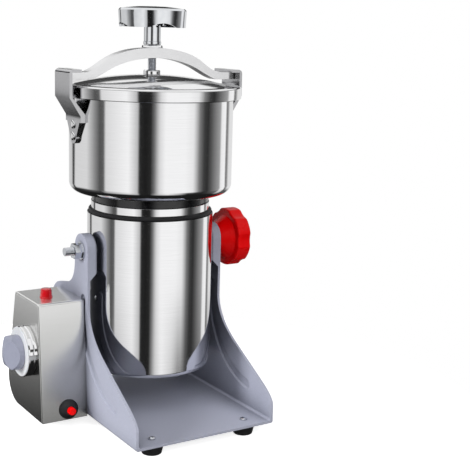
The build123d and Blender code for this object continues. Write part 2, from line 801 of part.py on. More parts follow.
# ---- trunnions: threaded steel blocks welded inside the can, and the hardware on the two pivots ---
trunnion_face = sqrt(wall_inner**2 - trunnion_radius**2)  # the block's flat face touches the round wall
with BuildPart() as trunnions:
    with BuildSketch(Plane.YZ.offset(trunnion_face - trunnion_length)):
        with Locations((0, pivot_height)):
            Circle(trunnion_radius)
    extrude(amount=trunnion_length)
    with BuildSketch(Plane.YZ.offset(trunnion_face)):
        with Locations((0, pivot_height)):
            Circle(trunnion_neck_radius)
    extrude(amount=arm_inner - seat_gap - trunnion_face)
    with BuildSketch(Plane.YZ.offset(trunnion_face - trunnion_length)):
        with Locations((0, pivot_height)):
            Circle(m10_radius + running_clearance)
    extrude(amount=arm_inner - trunnion_face + trunnion_length, mode=Mode.SUBTRACT)
    mirror(about=Plane.YZ)
finish(trunnions, "trunnions")

stud_inner_end = trunnion_face - trunnion_length
with BuildPart() as pivot_stud:
    with BuildSketch(Plane.YZ.offset(-stud_inner_end)):
        with Locations((0, pivot_height)):
            Circle(m10_radius)
    extrude(amount=stud_inner_end - pivot_stud_tip)
    fillet(pivot_stud.edges().filter_by(GeomType.CIRCLE).sort_by(Axis.X)[0], pivot_stud_end_radius)
finish(pivot_stud, "pivot_stud")
with BuildPart() as pivot_nut:
    with BuildSketch(Plane.YZ.offset(-frame_half)):
        with Locations((0, pivot_height)):
            Circle(pivot_flange_radius)
    extrude(amount=-pivot_flange)
    with BuildSketch(Plane.YZ.offset(-frame_half - pivot_flange)):
        with Locations((0, pivot_height)):
            RegularPolygon(pivot_nut_radius, 6)
    extrude(amount=pivot_flange - pivot_nut_height)
    with BuildSketch(Plane.YZ.offset(-frame_half)):
        with Locations((0, pivot_height)):
            Circle(m10_radius)
    extrude(amount=-pivot_nut_height, mode=Mode.SUBTRACT)
finish(pivot_nut, "pivot_nut")

hub_start = frame_half + seat_gap
with BuildPart() as lock_knob:
    with BuildSketch(Plane.YZ.offset(lock_knob_back)):
        with Locations((0, pivot_height)):
            Circle(lock_knob_radius)
            with PolarLocations(lobe_cut_circle, lock_knob_lobes, lobe_turn):
                Circle(lobe_cut_radius, mode=Mode.SUBTRACT)
    extrude(amount=lock_knob_depth)
    fillet(lock_knob.edges().filter_by(Axis.X), lobe_edge_radius)
    fillet(lock_knob.faces().sort_by(Axis.X)[-1].edges(), lock_knob_edge)
    fillet(lock_knob.faces().sort_by(Axis.X)[0].edges(), lock_knob_edge / 2)
    for place, radius in ((hub_start, lock_hub_radius), (lock_knob_back, lock_hub_root)):
        with BuildSketch(Plane.YZ.offset(place)):
            with Locations((0, pivot_height)):
                Circle(radius)
    loft()
    with BuildSketch(Plane.YZ.offset(hub_start)):
        with Locations((0, pivot_height)):
            Circle(m10_radius)
    extrude(amount=lock_knob_back - hub_start + lock_stud_grip, mode=Mode.SUBTRACT)
finish(lock_knob, "lock_knob")
with BuildPart() as lock_stud:
    with BuildSketch(Plane.YZ.offset(stud_inner_end)):
        with Locations((0, pivot_height)):
            Circle(m10_radius)
    extrude(amount=lock_knob_back + lock_stud_grip - stud_inner_end)
finish(lock_stud, "lock_stud")

# ---- neck: rubber spacer, polished collar and the cast shield that carries motor and bowl ---------
neck_screw_head_seat = housing_top - housing_wall
with BuildPart() as neck_spacer:
    add(tube(neck_core_radius, spacer_radius, housing_top, spacer_top).part)
    fillet(neck_spacer.edges().filter_by(GeomType.CIRCLE).sort_by(SortBy.RADIUS)[-2:], spacer_edge_radius)
    with BuildSketch(Plane.XY.offset(housing_top)):
        with PolarLocations(neck_screw_circle, neck_screw_count, neck_screw_turn):
            Circle(m4_radius + hole_clearance)
    extrude(amount=spacer_height, mode=Mode.SUBTRACT)
finish(neck_spacer, "neck_spacer")
with BuildPart() as neck_collar:
    add(tube(neck_core_radius, collar_radius, spacer_top, collar_top).part)
    with BuildSketch(Plane.XY.offset(spacer_top)):
        with PolarLocations(neck_screw_circle, neck_screw_count, neck_screw_turn):
            Circle(m4_radius + hole_clearance)
    extrude(amount=collar_height, mode=Mode.SUBTRACT)
finish(neck_collar, "neck_collar")

bell_inner = shield_radius - shield_wall
upper_bearing_bore, upper_bearing_outer, upper_bearing_width, upper_ball = upper_bearing
upper_bearing_top = upper_shield_plate + upper_bearing_width
shaft_passage = (upper_bearing_bore + upper_bearing_outer) / 2
with BuildPart() as upper_shield:
    add(turned(
        (upper_bearing_outer, upper_shield_plate),
        (bell_inner, upper_shield_plate),
        (bell_inner, stator_top),
        (shield_radius, stator_top),
        (shield_radius, upper_shield_plate),
        (neck_core_radius, upper_shield_plate),
        (neck_core_radius, collar_top),
        (shadow_gap_radius, collar_top),
        (shadow_gap_radius, flange_bottom),
        (flange_radius, flange_bottom),
        (flange_radius, bowl_bottom),
        (seal_radius, bowl_bottom),
        (seal_radius, flange_bottom),
        (shaft_passage, flange_bottom),
        (shaft_passage, upper_bearing_top),
        (upper_bearing_outer, upper_bearing_top),
    ).part)
    with BuildSketch(Plane.XY.offset(stator_top + shield_wall)):
        with PolarLocations(shield_radius, 4, start_angle=45):
            Rectangle(2 * (shield_wall + cut_margin), bell_window_width)
    extrude(amount=upper_shield_plate - stator_top - 2 * shield_wall, mode=Mode.SUBTRACT)
    with BuildSketch(Plane.XY.offset(collar_top)):
        with PolarLocations(neck_screw_circle, neck_screw_count, neck_screw_turn):
            Circle(m4_radius)
    extrude(amount=flange_height - shadow_gap_height, mode=Mode.SUBTRACT)
    with BuildSketch(Plane.XY.offset(bowl_bottom)):
        with PolarLocations(bowl_screw_circle, bowl_screw_count):
            Circle(m5_radius)
    extrude(amount=-flange_height, mode=Mode.SUBTRACT)
finish(upper_shield, "upper_shield")
neck_screw_length = collar_top + flange_height - shadow_gap_height - neck_screw_head_seat
neck_screw = pan_screw(m4_radius, neck_screw_head_radius, m4_head_height, neck_screw_length)
with BuildPart() as neck_screws:
    with PolarLocations(neck_screw_circle, neck_screw_count, neck_screw_turn):
        with Locations(Location((0, 0, neck_screw_head_seat), (180, 0, 0))):
            add(neck_screw)
finish(neck_screws, "neck_screws")

# ---- motor: lower shield, laminated stator with two wound poles, brush gear -----------------------
lower_bearing_bore, lower_bearing_outer, lower_bearing_width, lower_ball = lower_bearing
brush_centre = commutator_bottom + commutator_length / 2
brush_inner = commutator_radius + brush_air
holder_inner = brush_inner + brush_length / 4
with BuildPart() as lower_shield:
    add(turned(
        (core_shaft_radius, lower_shield_bottom),
        (lower_hub_radius, lower_shield_bottom),
        (lower_hub_radius, lower_shield_plate),
        (shield_radius, lower_shield_plate),
        (shield_radius, stator_bottom),
        (bell_inner, stator_bottom),
        (bell_inner, lower_shield_plate_top),
        (lower_bearing_outer, lower_shield_plate_top),
        (lower_bearing_outer, lower_bearing_bottom),
        (core_shaft_radius, lower_bearing_bottom),
    ).part)
    with Locations((0, 0, brush_centre)):
        Box(brush_width + 2 * holder_wall, 2 * (shield_radius + cut_margin), brush_height + 2 * holder_wall,
            mode=Mode.SUBTRACT)
finish(lower_shield, "lower_shield")

bore_radius = armature_radius + air_gap
shoe_radius = bore_radius + pole_shoe_depth
yoke_inner = shield_radius - yoke_wall
with BuildPart() as stator_core:
    with BuildSketch(Plane.XY.offset(stator_bottom)):
        Circle(shield_radius)
        Circle(yoke_inner, mode=Mode.SUBTRACT)
        Rectangle(2 * yoke_inner + yoke_wall, 2 * pole_half_width)
        with BuildSketch(mode=Mode.ADD):
            Circle(shoe_radius)
            Rectangle(2 * shoe_radius, pole_shoe_width, mode=Mode.INTERSECT)
            Rectangle(pole_tip_gap, 2 * yoke_inner, mode=Mode.SUBTRACT)
        Circle(bore_radius, mode=Mode.SUBTRACT)
    extrude(amount=stator_length)
finish(stator_core, "stator_core")
coil_bore = pole_half_width + seat_gap
coil_height = stator_length + 2 * coil_overhang
with BuildPart() as field_coils:
    with BuildSketch(Plane.YZ.offset(shoe_radius + seat_gap)):
        with Locations((0, stator_bottom + stator_length / 2)):
            RectangleRounded(2 * (coil_bore + coil_width), coil_height, coil_width)
            Rectangle(2 * coil_bore, stator_length + 2 * seat_gap, mode=Mode.SUBTRACT)
    extrude(amount=coil_thickness)
    mirror(about=Plane.YZ)
finish(field_coils, "field_coils")

with BuildPart() as brush_holders:
    with Locations((0, -holder_inner, brush_centre)):
        Box(brush_width + 2 * holder_wall, holder_end - holder_inner, brush_height + 2 * holder_wall,
            align=(Align.CENTER, Align.MAX, Align.CENTER))
        Box(brush_width, holder_end - holder_inner - holder_wall, brush_height,
            align=(Align.CENTER, Align.MAX, Align.CENTER), mode=Mode.SUBTRACT)
    mirror(about=Plane.XZ)
finish(brush_holders, "brush_holders")
with BuildPart() as carbon_brushes:
    with Locations((0, -brush_inner, brush_centre)):
        Box(brush_width, brush_length, brush_height, align=(Align.CENTER, Align.MAX, Align.CENTER))
    mirror(about=Plane.XZ)
finish(carbon_brushes, "carbon_brushes")

def bearing_ring(inner_radius, outer_radius, pitch, ball, bottom, width):
    """One bearing ring with the groove that its balls run in."""
    with BuildPart() as ring:
        with BuildSketch(Plane.XZ):
            with Locations((inner_radius, bottom)):
                Rectangle(outer_radius - inner_radius, width, align=(Align.MIN, Align.MIN))
            with Locations((pitch, bottom + width / 2)):
                Circle(ball + running_clearance, mode=Mode.SUBTRACT)
        revolve(axis=Axis.Z)
    return ring.part


inner_rings = []
with BuildPart() as bearing_outer_rings:
    for (bore, outer, width, ball), bottom in (
        (lower_bearing, lower_bearing_bottom),
        (upper_bearing, upper_shield_plate),
    ):
        pitch = (bore + outer) / 2
        race = (outer - bore) * race_share
        add(bearing_ring(outer - race, outer, pitch, ball, bottom, width))
        inner_rings.append(bearing_ring(bore, bore + race, pitch, ball, bottom, width))
        with Locations((0, 0, bottom + width / 2)):
            with PolarLocations(pitch, bearing_ball_count):
                Sphere(ball)
finish(bearing_outer_rings, "bearing_outer_rings")
with BuildPart() as bearing_inner_rings:
    for ring in inner_rings:
        add(ring)
finish(bearing_inner_rings, "bearing_inner_rings")

# ---- rotor: stepped shaft, armature, commutator and fan -------------------------------------------
blade_levels = [shaft_shoulder + level * blade_pitch for level in range(blade_count)]
blade_nut_bottom = blade_levels[-1] + blade_thickness
shaft_top = blade_nut_bottom + blade_nut_height + blade_nut_stickout
lower_bearing_top = lower_bearing_bottom + lower_bearing_width
with BuildPart() as motor_shaft:
    add(turned(
        (0, lower_bearing_bottom - shaft_stub),
        (lower_bearing_bore, lower_bearing_bottom - shaft_stub),
        (lower_bearing_bore, lower_bearing_top),
        (core_shaft_radius, lower_bearing_top),
        (core_shaft_radius, upper_shield_plate),
        (upper_bearing_bore, upper_shield_plate),
        (upper_bearing_bore, shaft_shoulder),
        (spindle_thread_radius, shaft_shoulder),
        (spindle_thread_radius, shaft_top),
        (0, shaft_top),
    ).part)
    chamfer(motor_shaft.edges().filter_by(GeomType.CIRCLE).sort_by(Axis.Z)[-1], shaft_chamfer)
finish(motor_shaft, "motor_shaft")
armature_bottom = stator_bottom + armature_overhang
armature_top = stator_top - armature_overhang
with BuildPart() as armature_core:
    add(tube(core_shaft_radius, armature_radius, armature_bottom, armature_top).part)
    with BuildSketch(Plane.XY.offset(armature_bottom)):
        with PolarLocations(armature_radius, armature_slot_count):
            Rectangle(2 * armature_slot_depth, armature_slot_width)
    extrude(amount=armature_top - armature_bottom, mode=Mode.SUBTRACT)
finish(armature_core, "armature_core")
with BuildPart() as armature_windings:
    add(tube(core_shaft_radius, winding_radius, armature_bottom - winding_height, armature_bottom).part)
    add(tube(core_shaft_radius, winding_radius, armature_top, armature_top + winding_height).part)
    widest_rims = armature_windings.edges().filter_by(GeomType.CIRCLE).sort_by(SortBy.RADIUS)[-4:]
    fillet(widest_rims, winding_height / 3)
finish(armature_windings, "armature_windings")
with BuildPart() as commutator:
    add(tube(core_shaft_radius, commutator_radius, commutator_bottom,
             commutator_bottom + commutator_length).part)
finish(commutator, "commutator")
with BuildPart() as cooling_fan:
    add(tube(core_shaft_radius, fan_radius, fan_bottom, fan_bottom + fan_disc).part)
    add(tube(core_shaft_radius, fan_hub_radius, fan_bottom, fan_bottom + fan_height).part)
    with BuildSketch(Plane.XY.offset(fan_bottom)):
        with PolarLocations((fan_hub_radius + fan_radius) / 2 - fan_blade_root, fan_blade_count):
            Rectangle(fan_radius - fan_hub_radius, fan_blade)
    extrude(amount=fan_height)
finish(cooling_fan, "cooling_fan")

# ---- blades on the shaft's threaded top, a spacer between each, one nut over all ------------------
def blade(level, turn, lift):
    """A flat two-ended blade, bevelled at its ends, whose tips rise by lift."""
    half_width = blade_width / 2
    knee = blade_reach - tip_length
    bottom = blade_levels[level]
    top = bottom + blade_thickness
    with BuildPart() as flat:
        with BuildSketch(Plane.XZ.offset(-half_width)):
            with BuildLine():
                Polyline(
                    (-blade_reach, top + lift), (-knee, top), (knee, top), (blade_reach, top + lift),
                    (blade_reach, bottom + lift), (knee, bottom), (-knee, bottom),
                    (-blade_reach, bottom + lift),
                    close=True,
                )
            make_face()
        extrude(amount=blade_width)
        with BuildSketch(Plane.XY.offset(bottom)):
            with BuildLine():
                Polyline(
                    (blade_reach, half_width - blade_bevel), (blade_reach - blade_bevel, half_width),
                    (blade_bevel - blade_reach, half_width), (-blade_reach, half_width - blade_bevel),
                    (-blade_reach, -half_width), (blade_reach, -half_width),
                    close=True,
                )
            make_face()
        extrude(amount=blade_thickness + lift, mode=Mode.INTERSECT)
        with BuildSketch(Plane.XY.offset(bottom)):
            Circle(spindle_thread_radius)
        extrude(amount=blade_thickness, mode=Mode.SUBTRACT)
    return flat.part.rotate(Axis.Z, turn)


for level, (name, lift) in enumerate((("lower_blade", 0), ("middle_blade", 0), ("upper_blade", tip_rise))):
    with BuildPart() as grinding_blade:
        add(blade(level, level * blade_turn, lift))
    finish(grinding_blade, name)
with BuildPart() as blade_spacers:
    for low, high in zip(blade_levels, blade_levels[1:]):
        add(tube(spindle_thread_radius, blade_spacer_radius, low + blade_thickness, high).part)
finish(blade_spacers, "blade_spacers")
with BuildPart() as blade_nut:
    with Locations((0, 0, blade_nut_bottom)):
        add(hex_nut(blade_nut_radius, blade_nut_height, spindle_thread_radius))
finish(blade_nut, "blade_nut")

# ---- grinding bowl: drawn stainless, a stout rim ring round its mouth -----------------------------
with BuildPart() as bowl:
    with BuildSketch(Plane.XZ):
        with BuildLine():
            outer_line = FilletPolyline(
                (upper_bearing_bore + seat_gap, bowl_bottom),
                (bowl_radius, bowl_bottom),
                (bowl_radius, bowl_top),
                radius=bowl_corner,
            )
            Line(outer_line @ 1, (bowl_inner, bowl_top))
            inner_line = FilletPolyline(
                (bowl_inner, bowl_top),
                (bowl_inner, bowl_floor),
                (upper_bearing_bore + seat_gap, bowl_floor),
                radius=bowl_corner - bowl_wall,
            )
            Line(inner_line @ 1, outer_line @ 0)
        make_face()
    revolve(axis=Axis.Z)
    with BuildSketch(Plane.XY.offset(bowl_bottom)):
        with PolarLocations(bowl_screw_circle, bowl_screw_count):
            Circle(m5_radius)
    extrude(amount=bowl_wall, mode=Mode.SUBTRACT)
    for height in rivet_heights:
        with BuildSketch(Plane.YZ.offset(-bowl_radius)):
            with Locations((0, height)):
                Circle(rivet_radius)
        extrude(amount=2 * bowl_radius, mode=Mode.SUBTRACT)
finish(bowl, "bowl")
with BuildPart() as bowl_rim:
    add(tube(bowl_radius, rim_radius, bowl_top - rim_height, bowl_top).part)
    fillet(bowl_rim.edges().filter_by(GeomType.CIRCLE).sort_by(SortBy.RADIUS)[-2:], rim_edge_radius)
finish(bowl_rim, "bowl_rim")
bowl_screw = pan_screw(m5_radius, m5_head_radius, m5_head_height, flange_height + bowl_wall)
with BuildPart() as bowl_screws:
    with Locations((0, 0, bowl_floor)):
        with PolarLocations(bowl_screw_circle, bowl_screw_count):
            add(bowl_screw)
finish(bowl_screws, "bowl_screws")
with BuildPart() as shaft_seal:
    add(tube(upper_bearing_bore + running_clearance, seal_radius, flange_bottom, bowl_bottom).part)
finish(shaft_seal, "shaft_seal")

# ---- lid: shallow dome with a turned-down skirt, silicone gasket, and the spindle's boss ----------
skirt_inner = lid_radius - lid_sheet
seat_inner = lid_radius - lid_seat_width
dome_radius = (seat_inner**2 + dome_rise**2) / (2 * dome_rise)
with BuildPart() as lid:
    with BuildSketch(Plane.XZ):
        with BuildLine():
            RadiusArc((0, lid_crown), (seat_inner, lid_edge), dome_radius)
            Polyline((seat_inner, lid_edge), (lid_radius, lid_edge), (lid_radius, gasket_top),
                     (seat_inner, gasket_top))
            RadiusArc((seat_inner, gasket_top), (0, lid_crown - lid_sheet), -dome_radius)
            Line((0, lid_crown - lid_sheet), (0, lid_crown))
        make_face()
    revolve(axis=Axis.Z)
finish(lid, "lid")
with BuildPart() as lid_skirt:
    add(tube(skirt_inner, lid_radius, skirt_bottom, gasket_top).part)
finish(lid_skirt, "lid_skirt")
with BuildPart() as lid_gasket:
    add(tube(bowl_inner, rim_radius, bowl_top, gasket_top).part)
finish(lid_gasket, "lid_gasket")
spindle_foot = lid_crown + seat_gap
with BuildPart() as lid_boss:
    with Locations((0, 0, lid_crown)):
        Cylinder(lid_boss_radius, lid_boss_height, align=(Align.CENTER, Align.CENTER, Align.MIN))
        chamfer(lid_boss.edges().filter_by(GeomType.CIRCLE).sort_by(Axis.Z)[-1], lid_boss_chamfer)
        Cylinder(m10_radius + running_clearance, lid_boss_height,
                 align=(Align.CENTER, Align.CENTER, Align.MIN), mode=Mode.SUBTRACT)
finish(lid_boss, "lid_boss")

# ---- brackets: two riveted straps whose hooks hold the clamp bar's ends down ----------------------
strap_inner = bar_end_radius + bracket_clearance
strap_outer = strap_inner + bracket_sheet
plate_outer = bowl_radius + bracket_sheet
with BuildPart() as bracket:
    with BuildSketch(Plane.XZ.offset(-bracket_half_width)):
        with BuildLine():
            Polyline(
                (strap_inner - hook_reach, hook_height),
                (strap_inner, hook_height),
                (strap_inner, strap_bend_height),
                (bowl_radius - bracket_sheet, strap_foot_height),
                (bowl_radius - bracket_sheet, strap_foot_height - 2 * bracket_sheet),
                (plate_outer, strap_foot_height - 2 * bracket_sheet),
                (plate_outer, strap_foot_height),
                (strap_outer, strap_bend_height),
                (strap_outer, hook_height + bracket_sheet),
                (strap_inner - hook_reach, hook_height + bracket_sheet),
                close=True,
            )
        make_face()
    extrude(amount=2 * bracket_half_width)
    fillet(bracket.edges().filter_by(Axis.Y).sort_by(Axis.Z)[-1:-3:-1].sort_by(Axis.X)[-1], hook_bend_radius)
    with BuildSketch(Plane.YZ):
        with BuildLine():
            Polyline(
                (-bracket_half_width, strap_foot_height),
                (-plate_shoulder, plate_shoulder_height),
                (-plate_tip_radius, plate_bottom + plate_tip_radius),
            )
            RadiusArc((-plate_tip_radius, plate_bottom + plate_tip_radius),
                      (plate_tip_radius, plate_bottom + plate_tip_radius), -plate_tip_radius)
            Polyline(
                (plate_tip_radius, plate_bottom + plate_tip_radius),
                (plate_shoulder, plate_shoulder_height),
                (bracket_half_width, strap_foot_height),
                (-bracket_half_width, strap_foot_height),
            )
        make_face()
    extrude(amount=plate_outer)
    with BuildSketch(Plane.XY.offset(plate_bottom)):
        Circle(bowl_radius)
    extrude(amount=strap_foot_height + bracket_sheet * 2 - plate_bottom, mode=Mode.SUBTRACT)
    for height in rivet_heights:
        with BuildSketch(Plane.YZ):
            with Locations((0, height)):
                Circle(rivet_radius)
        extrude(amount=strap_outer, mode=Mode.SUBTRACT)
with BuildPart() as bracket_right:
    add(bracket.part)
finish(bracket_right, "bracket_right")
with BuildPart() as bracket_left:
    add(mirror(bracket.part, about=Plane.YZ))
finish(bracket_left, "bracket_left")

inner_head_seat = sqrt(bowl_inner**2 - rivet_inner_radius**2)  # the flat head touches the round wall
with BuildPart() as bracket_rivets:
    for height in rivet_heights:
        with BuildSketch(Plane.YZ.offset(inner_head_seat)):
            with Locations((0, height)):
                Circle(rivet_radius)
        extrude(amount=plate_outer - inner_head_seat)
        with Locations(Location((plate_outer, 0, height), (0, 90, 0))):
            Cylinder(rivet_head_radius, rivet_head_height, align=(Align.CENTER, Align.CENTER, Align.MIN))
        with Locations(Location((inner_head_seat, 0, height), (0, 90, 0))):
            Cylinder(rivet_inner_radius, rivet_inner_height, align=(Align.CENTER, Align.CENTER, Align.MAX))
    fillet(bracket_rivets.edges().filter_by(GeomType.CIRCLE).sort_by(Axis.X)[-2:], rivet_dome_radius)
    mirror(about=Plane.YZ)
finish(bracket_rivets, "bracket_rivets")

# ---- clamp bar: an arched bar whose round ends swing under the hooks, with a threaded flanged bush
bar_end_top = hook_height
bar_end_bottom = hook_height - bar_end_thickness
bar_belly = bar_crown - bar_centre_thickness
belly_end = bar_end_flat - belly_start
with BuildPart() as clamp_bar:
    with BuildSketch(Plane.XZ.offset(-bar_width / 2)):
        with BuildLine():
            top_arch = Spline(
                (-bar_end_flat, bar_end_top),
                (arch_shoulder[0] - bar_end_flat, bar_end_top + arch_shoulder[1]),
                (0, bar_crown),
                (bar_end_flat - arch_shoulder[0], bar_end_top + arch_shoulder[1]),
                (bar_end_flat, bar_end_top),
                tangents=[(1, arch_slope), (1, -arch_slope)],
            )
            Polyline(top_arch @ 1, (bar_end_radius, bar_end_top), (bar_end_radius, bar_end_bottom),
                     (belly_end, bar_end_bottom))
            bottom_arch = Spline(
                (belly_end, bar_end_bottom),
                (belly_end - belly_shoulder[0], bar_end_bottom + belly_shoulder[1]),
                (0, bar_belly),
                (belly_shoulder[0] - belly_end, bar_end_bottom + belly_shoulder[1]),
                (-belly_end, bar_end_bottom),
                tangents=[(-1, arch_slope), (-1, -arch_slope)],
            )
            Polyline(bottom_arch @ 1, (-bar_end_radius, bar_end_bottom), (-bar_end_radius, bar_end_top),
                     top_arch @ 0)
        make_face()
    extrude(amount=bar_width)
    with BuildSketch(Plane.XY.offset(bar_end_bottom)):
        Circle(bar_end_radius)
    extrude(amount=bar_crown - bar_end_bottom, mode=Mode.INTERSECT)
    with BuildSketch(Plane.XY.offset(bar_end_bottom)):
        Circle(bar_nut_radius)
    extrude(amount=bar_crown, mode=Mode.SUBTRACT)
    with BuildSketch(Plane.XY.offset(bar_crown)):
        Circle(bar_nut_flange_radius)
    extrude(amount=bar_nut_flange_height, mode=Mode.SUBTRACT)
finish(clamp_bar, "clamp_bar")
with BuildPart() as bar_bush:
    add(turned(
        (m10_radius + running_clearance, bar_belly),
        (bar_nut_radius, bar_belly),
        (bar_nut_radius, bar_crown),
        (bar_nut_flange_radius, bar_crown),
        (bar_nut_flange_radius - bar_nut_flange_taper, bar_crown + bar_nut_flange_height),
        (m10_radius + running_clearance, bar_crown + bar_nut_flange_height),
    ).part)
finish(bar_bush, "bar_bush")

# ---- handwheel: hollow chromed cap on a polished stem, with the clamping spindle ------------------
cap_bottom = cap_top - cap_height
cap_shoulder = cap_top - cap_crown
cap_roof = cap_shoulder - cap_wall
with BuildPart() as handwheel_cap:
    add(turned(
        (0, cap_top),
        (cap_flat[0], cap_top - cap_flat[1]),
        (cap_radius - cap_edge[0], cap_shoulder + cap_edge[1]),
        (cap_radius, cap_shoulder - cap_edge[2]),
        (cap_radius - cap_taper, cap_bottom),
        (cap_radius - cap_taper - cap_wall, cap_bottom),
        (cap_radius - cap_wall, cap_roof),
        (cap_hub_radius, cap_roof),
        (cap_hub_radius, cap_bottom + cap_hub_rise),
        (stem_radius, cap_bottom + cap_hub_rise),
        (stem_radius, cap_roof),
        (0, cap_roof),
    ).part)
    with BuildSketch(Plane.XY.offset(cap_roof)):
        with PolarLocations((cap_hub_radius + cap_radius - cap_wall) / 2, cap_rib_count, start_angle=45):
            Rectangle(cap_radius - cap_wall - cap_hub_radius, cap_rib_thickness)
    extrude(amount=-cap_rib_drop)
    for turn in range(scallop_count):
        outwards = Vector(1, 0, 0).rotate(Axis.Z, scallop_turn + turn * 360 / scallop_count)
        sideways = outwards.rotate(Axis.Z, 90)
        with BuildSketch(Plane((0, 0, 0), x_dir=sideways, z_dir=outwards).offset(cap_hub_radius + seat_gap)):
            with Locations((0, cap_bottom + scallop_depth - scallop_radius)):
                Circle(scallop_radius)
        extrude(amount=cap_radius, mode=Mode.SUBTRACT)
finish(handwheel_cap, "handwheel_cap")
with BuildPart() as clamp_spindle:
    add(turned(
        (0, spindle_foot),
        (m10_radius, spindle_foot),
        (m10_radius, stem_bottom),
        (stem_radius, stem_bottom),
        (stem_radius, cap_roof),
        (0, cap_roof),
    ).part)
finish(clamp_spindle, "clamp_spindle")

# ---- move every piece so that the origin is on the table under the middle of the mill, and write it
whole = Compound(children=[piece.moved(Location()) for piece in pieces]).bounding_box()
to_origin = Location((-(whole.min.X + whole.max.X) / 2, -(whole.min.Y + whole.max.Y) / 2, -whole.min.Z))
os.makedirs("parts", exist_ok=True)
for piece in pieces:
    placed = piece.moved(to_origin)
    placed.label = piece.label
    export_step(placed, f"parts/{piece.label}.step")
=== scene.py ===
"""Electric grain mill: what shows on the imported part, piece by piece in the order it goes together."""

import json
import math

import bmesh
import bpy
from mathutils import Matrix, Vector


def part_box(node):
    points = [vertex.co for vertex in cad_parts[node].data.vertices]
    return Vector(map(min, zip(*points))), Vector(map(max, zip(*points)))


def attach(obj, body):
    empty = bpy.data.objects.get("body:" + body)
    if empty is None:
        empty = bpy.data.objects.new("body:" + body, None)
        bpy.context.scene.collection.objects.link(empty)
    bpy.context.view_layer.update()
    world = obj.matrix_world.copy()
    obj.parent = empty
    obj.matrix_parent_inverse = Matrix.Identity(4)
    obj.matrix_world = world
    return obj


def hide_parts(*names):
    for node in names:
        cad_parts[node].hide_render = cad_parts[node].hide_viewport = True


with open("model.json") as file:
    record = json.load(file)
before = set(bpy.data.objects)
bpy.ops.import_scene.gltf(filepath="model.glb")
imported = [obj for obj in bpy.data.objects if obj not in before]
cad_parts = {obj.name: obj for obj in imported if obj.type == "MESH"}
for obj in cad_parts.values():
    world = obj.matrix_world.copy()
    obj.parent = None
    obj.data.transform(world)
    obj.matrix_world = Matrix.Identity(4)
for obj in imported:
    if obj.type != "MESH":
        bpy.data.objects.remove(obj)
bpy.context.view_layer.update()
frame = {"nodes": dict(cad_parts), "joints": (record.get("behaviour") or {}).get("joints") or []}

# ---- camera and studio ---------------------------------------------------------------------------
# The mill stands on white paper in a white tent. Black and grey cards stand round it, so that polished
# steel shows the tall dark streaks that give it its shape. A lamp on the left lights the dull surfaces.
can_low, can_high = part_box("motor_housing")
head_axis = (can_low + can_high) / 2
head_axis.z = 0.0
camera_offset = Vector((-0.57578, -1.07375, 0.46575))  # metres from the head's axis at table height
focal_length, film_width = 79.7, 36.0
camera_place = head_axis + camera_offset
heading, dip, roll = (math.radians(angle) for angle in (32.97, 11.424, 1.638))
ahead = Vector((math.sin(heading) * math.cos(dip), math.cos(heading) * math.cos(dip), -math.sin(dip)))
level_right = Vector((math.cos(heading), -math.sin(heading), 0.0))
level_up = level_right.cross(ahead)
camera_right = level_right * math.cos(roll) + level_up * math.sin(roll)
camera_up = level_up * math.cos(roll) - level_right * math.sin(roll)
camera_data = bpy.data.cameras.new("camera")
camera_data.lens = focal_length
camera_data.sensor_width = film_width
camera = bpy.data.objects.new("camera", camera_data)
turn = Matrix((camera_right, camera_up, -ahead)).transposed().to_4x4()
camera.matrix_world = Matrix.Translation(camera_place) @ turn
bpy.context.scene.collection.objects.link(camera)
bpy.context.scene.camera = camera
bpy.context.scene.view_settings.view_transform = "Standard"


def put(tree, kind, sockets=None, **settings):
    """Add one node. A socket's value is another node's output or a plain value."""
    made = tree.nodes.new(kind)
    for name, value in settings.items():
        setattr(made, name, value)
    for name, value in (sockets or {}).items():
        socket = made.inputs[name]
        if isinstance(value, bpy.types.NodeSocket):
            tree.links.new(value, socket)
        else:
            socket.default_value = value
    return made


def linear(hex_colour):
    """An sRGB hex colour such as "#B5B9C8" as linear red, green, blue, alpha."""
    parts = [int(hex_colour[i:i + 2], 16) / 255 for i in (1, 3, 5)]
    return [p / 12.92 if p <= 0.04045 else ((p + 0.055) / 1.055) ** 2.4 for p in parts] + [1.0]


def ramp(tree, factor, stops):
    """A colour ramp through (place, hex colour) stops."""
    made = put(tree, "ShaderNodeValToRGB", {"Fac": factor})
    elements = made.color_ramp.elements
    first, *between, last = stops
    for element, (place, colour) in zip(elements, (first, last)):
        element.position = place
        element.color = linear(colour)
    for place, colour in between:
        elements.new(place).color = linear(colour)
    return made.outputs["Color"]


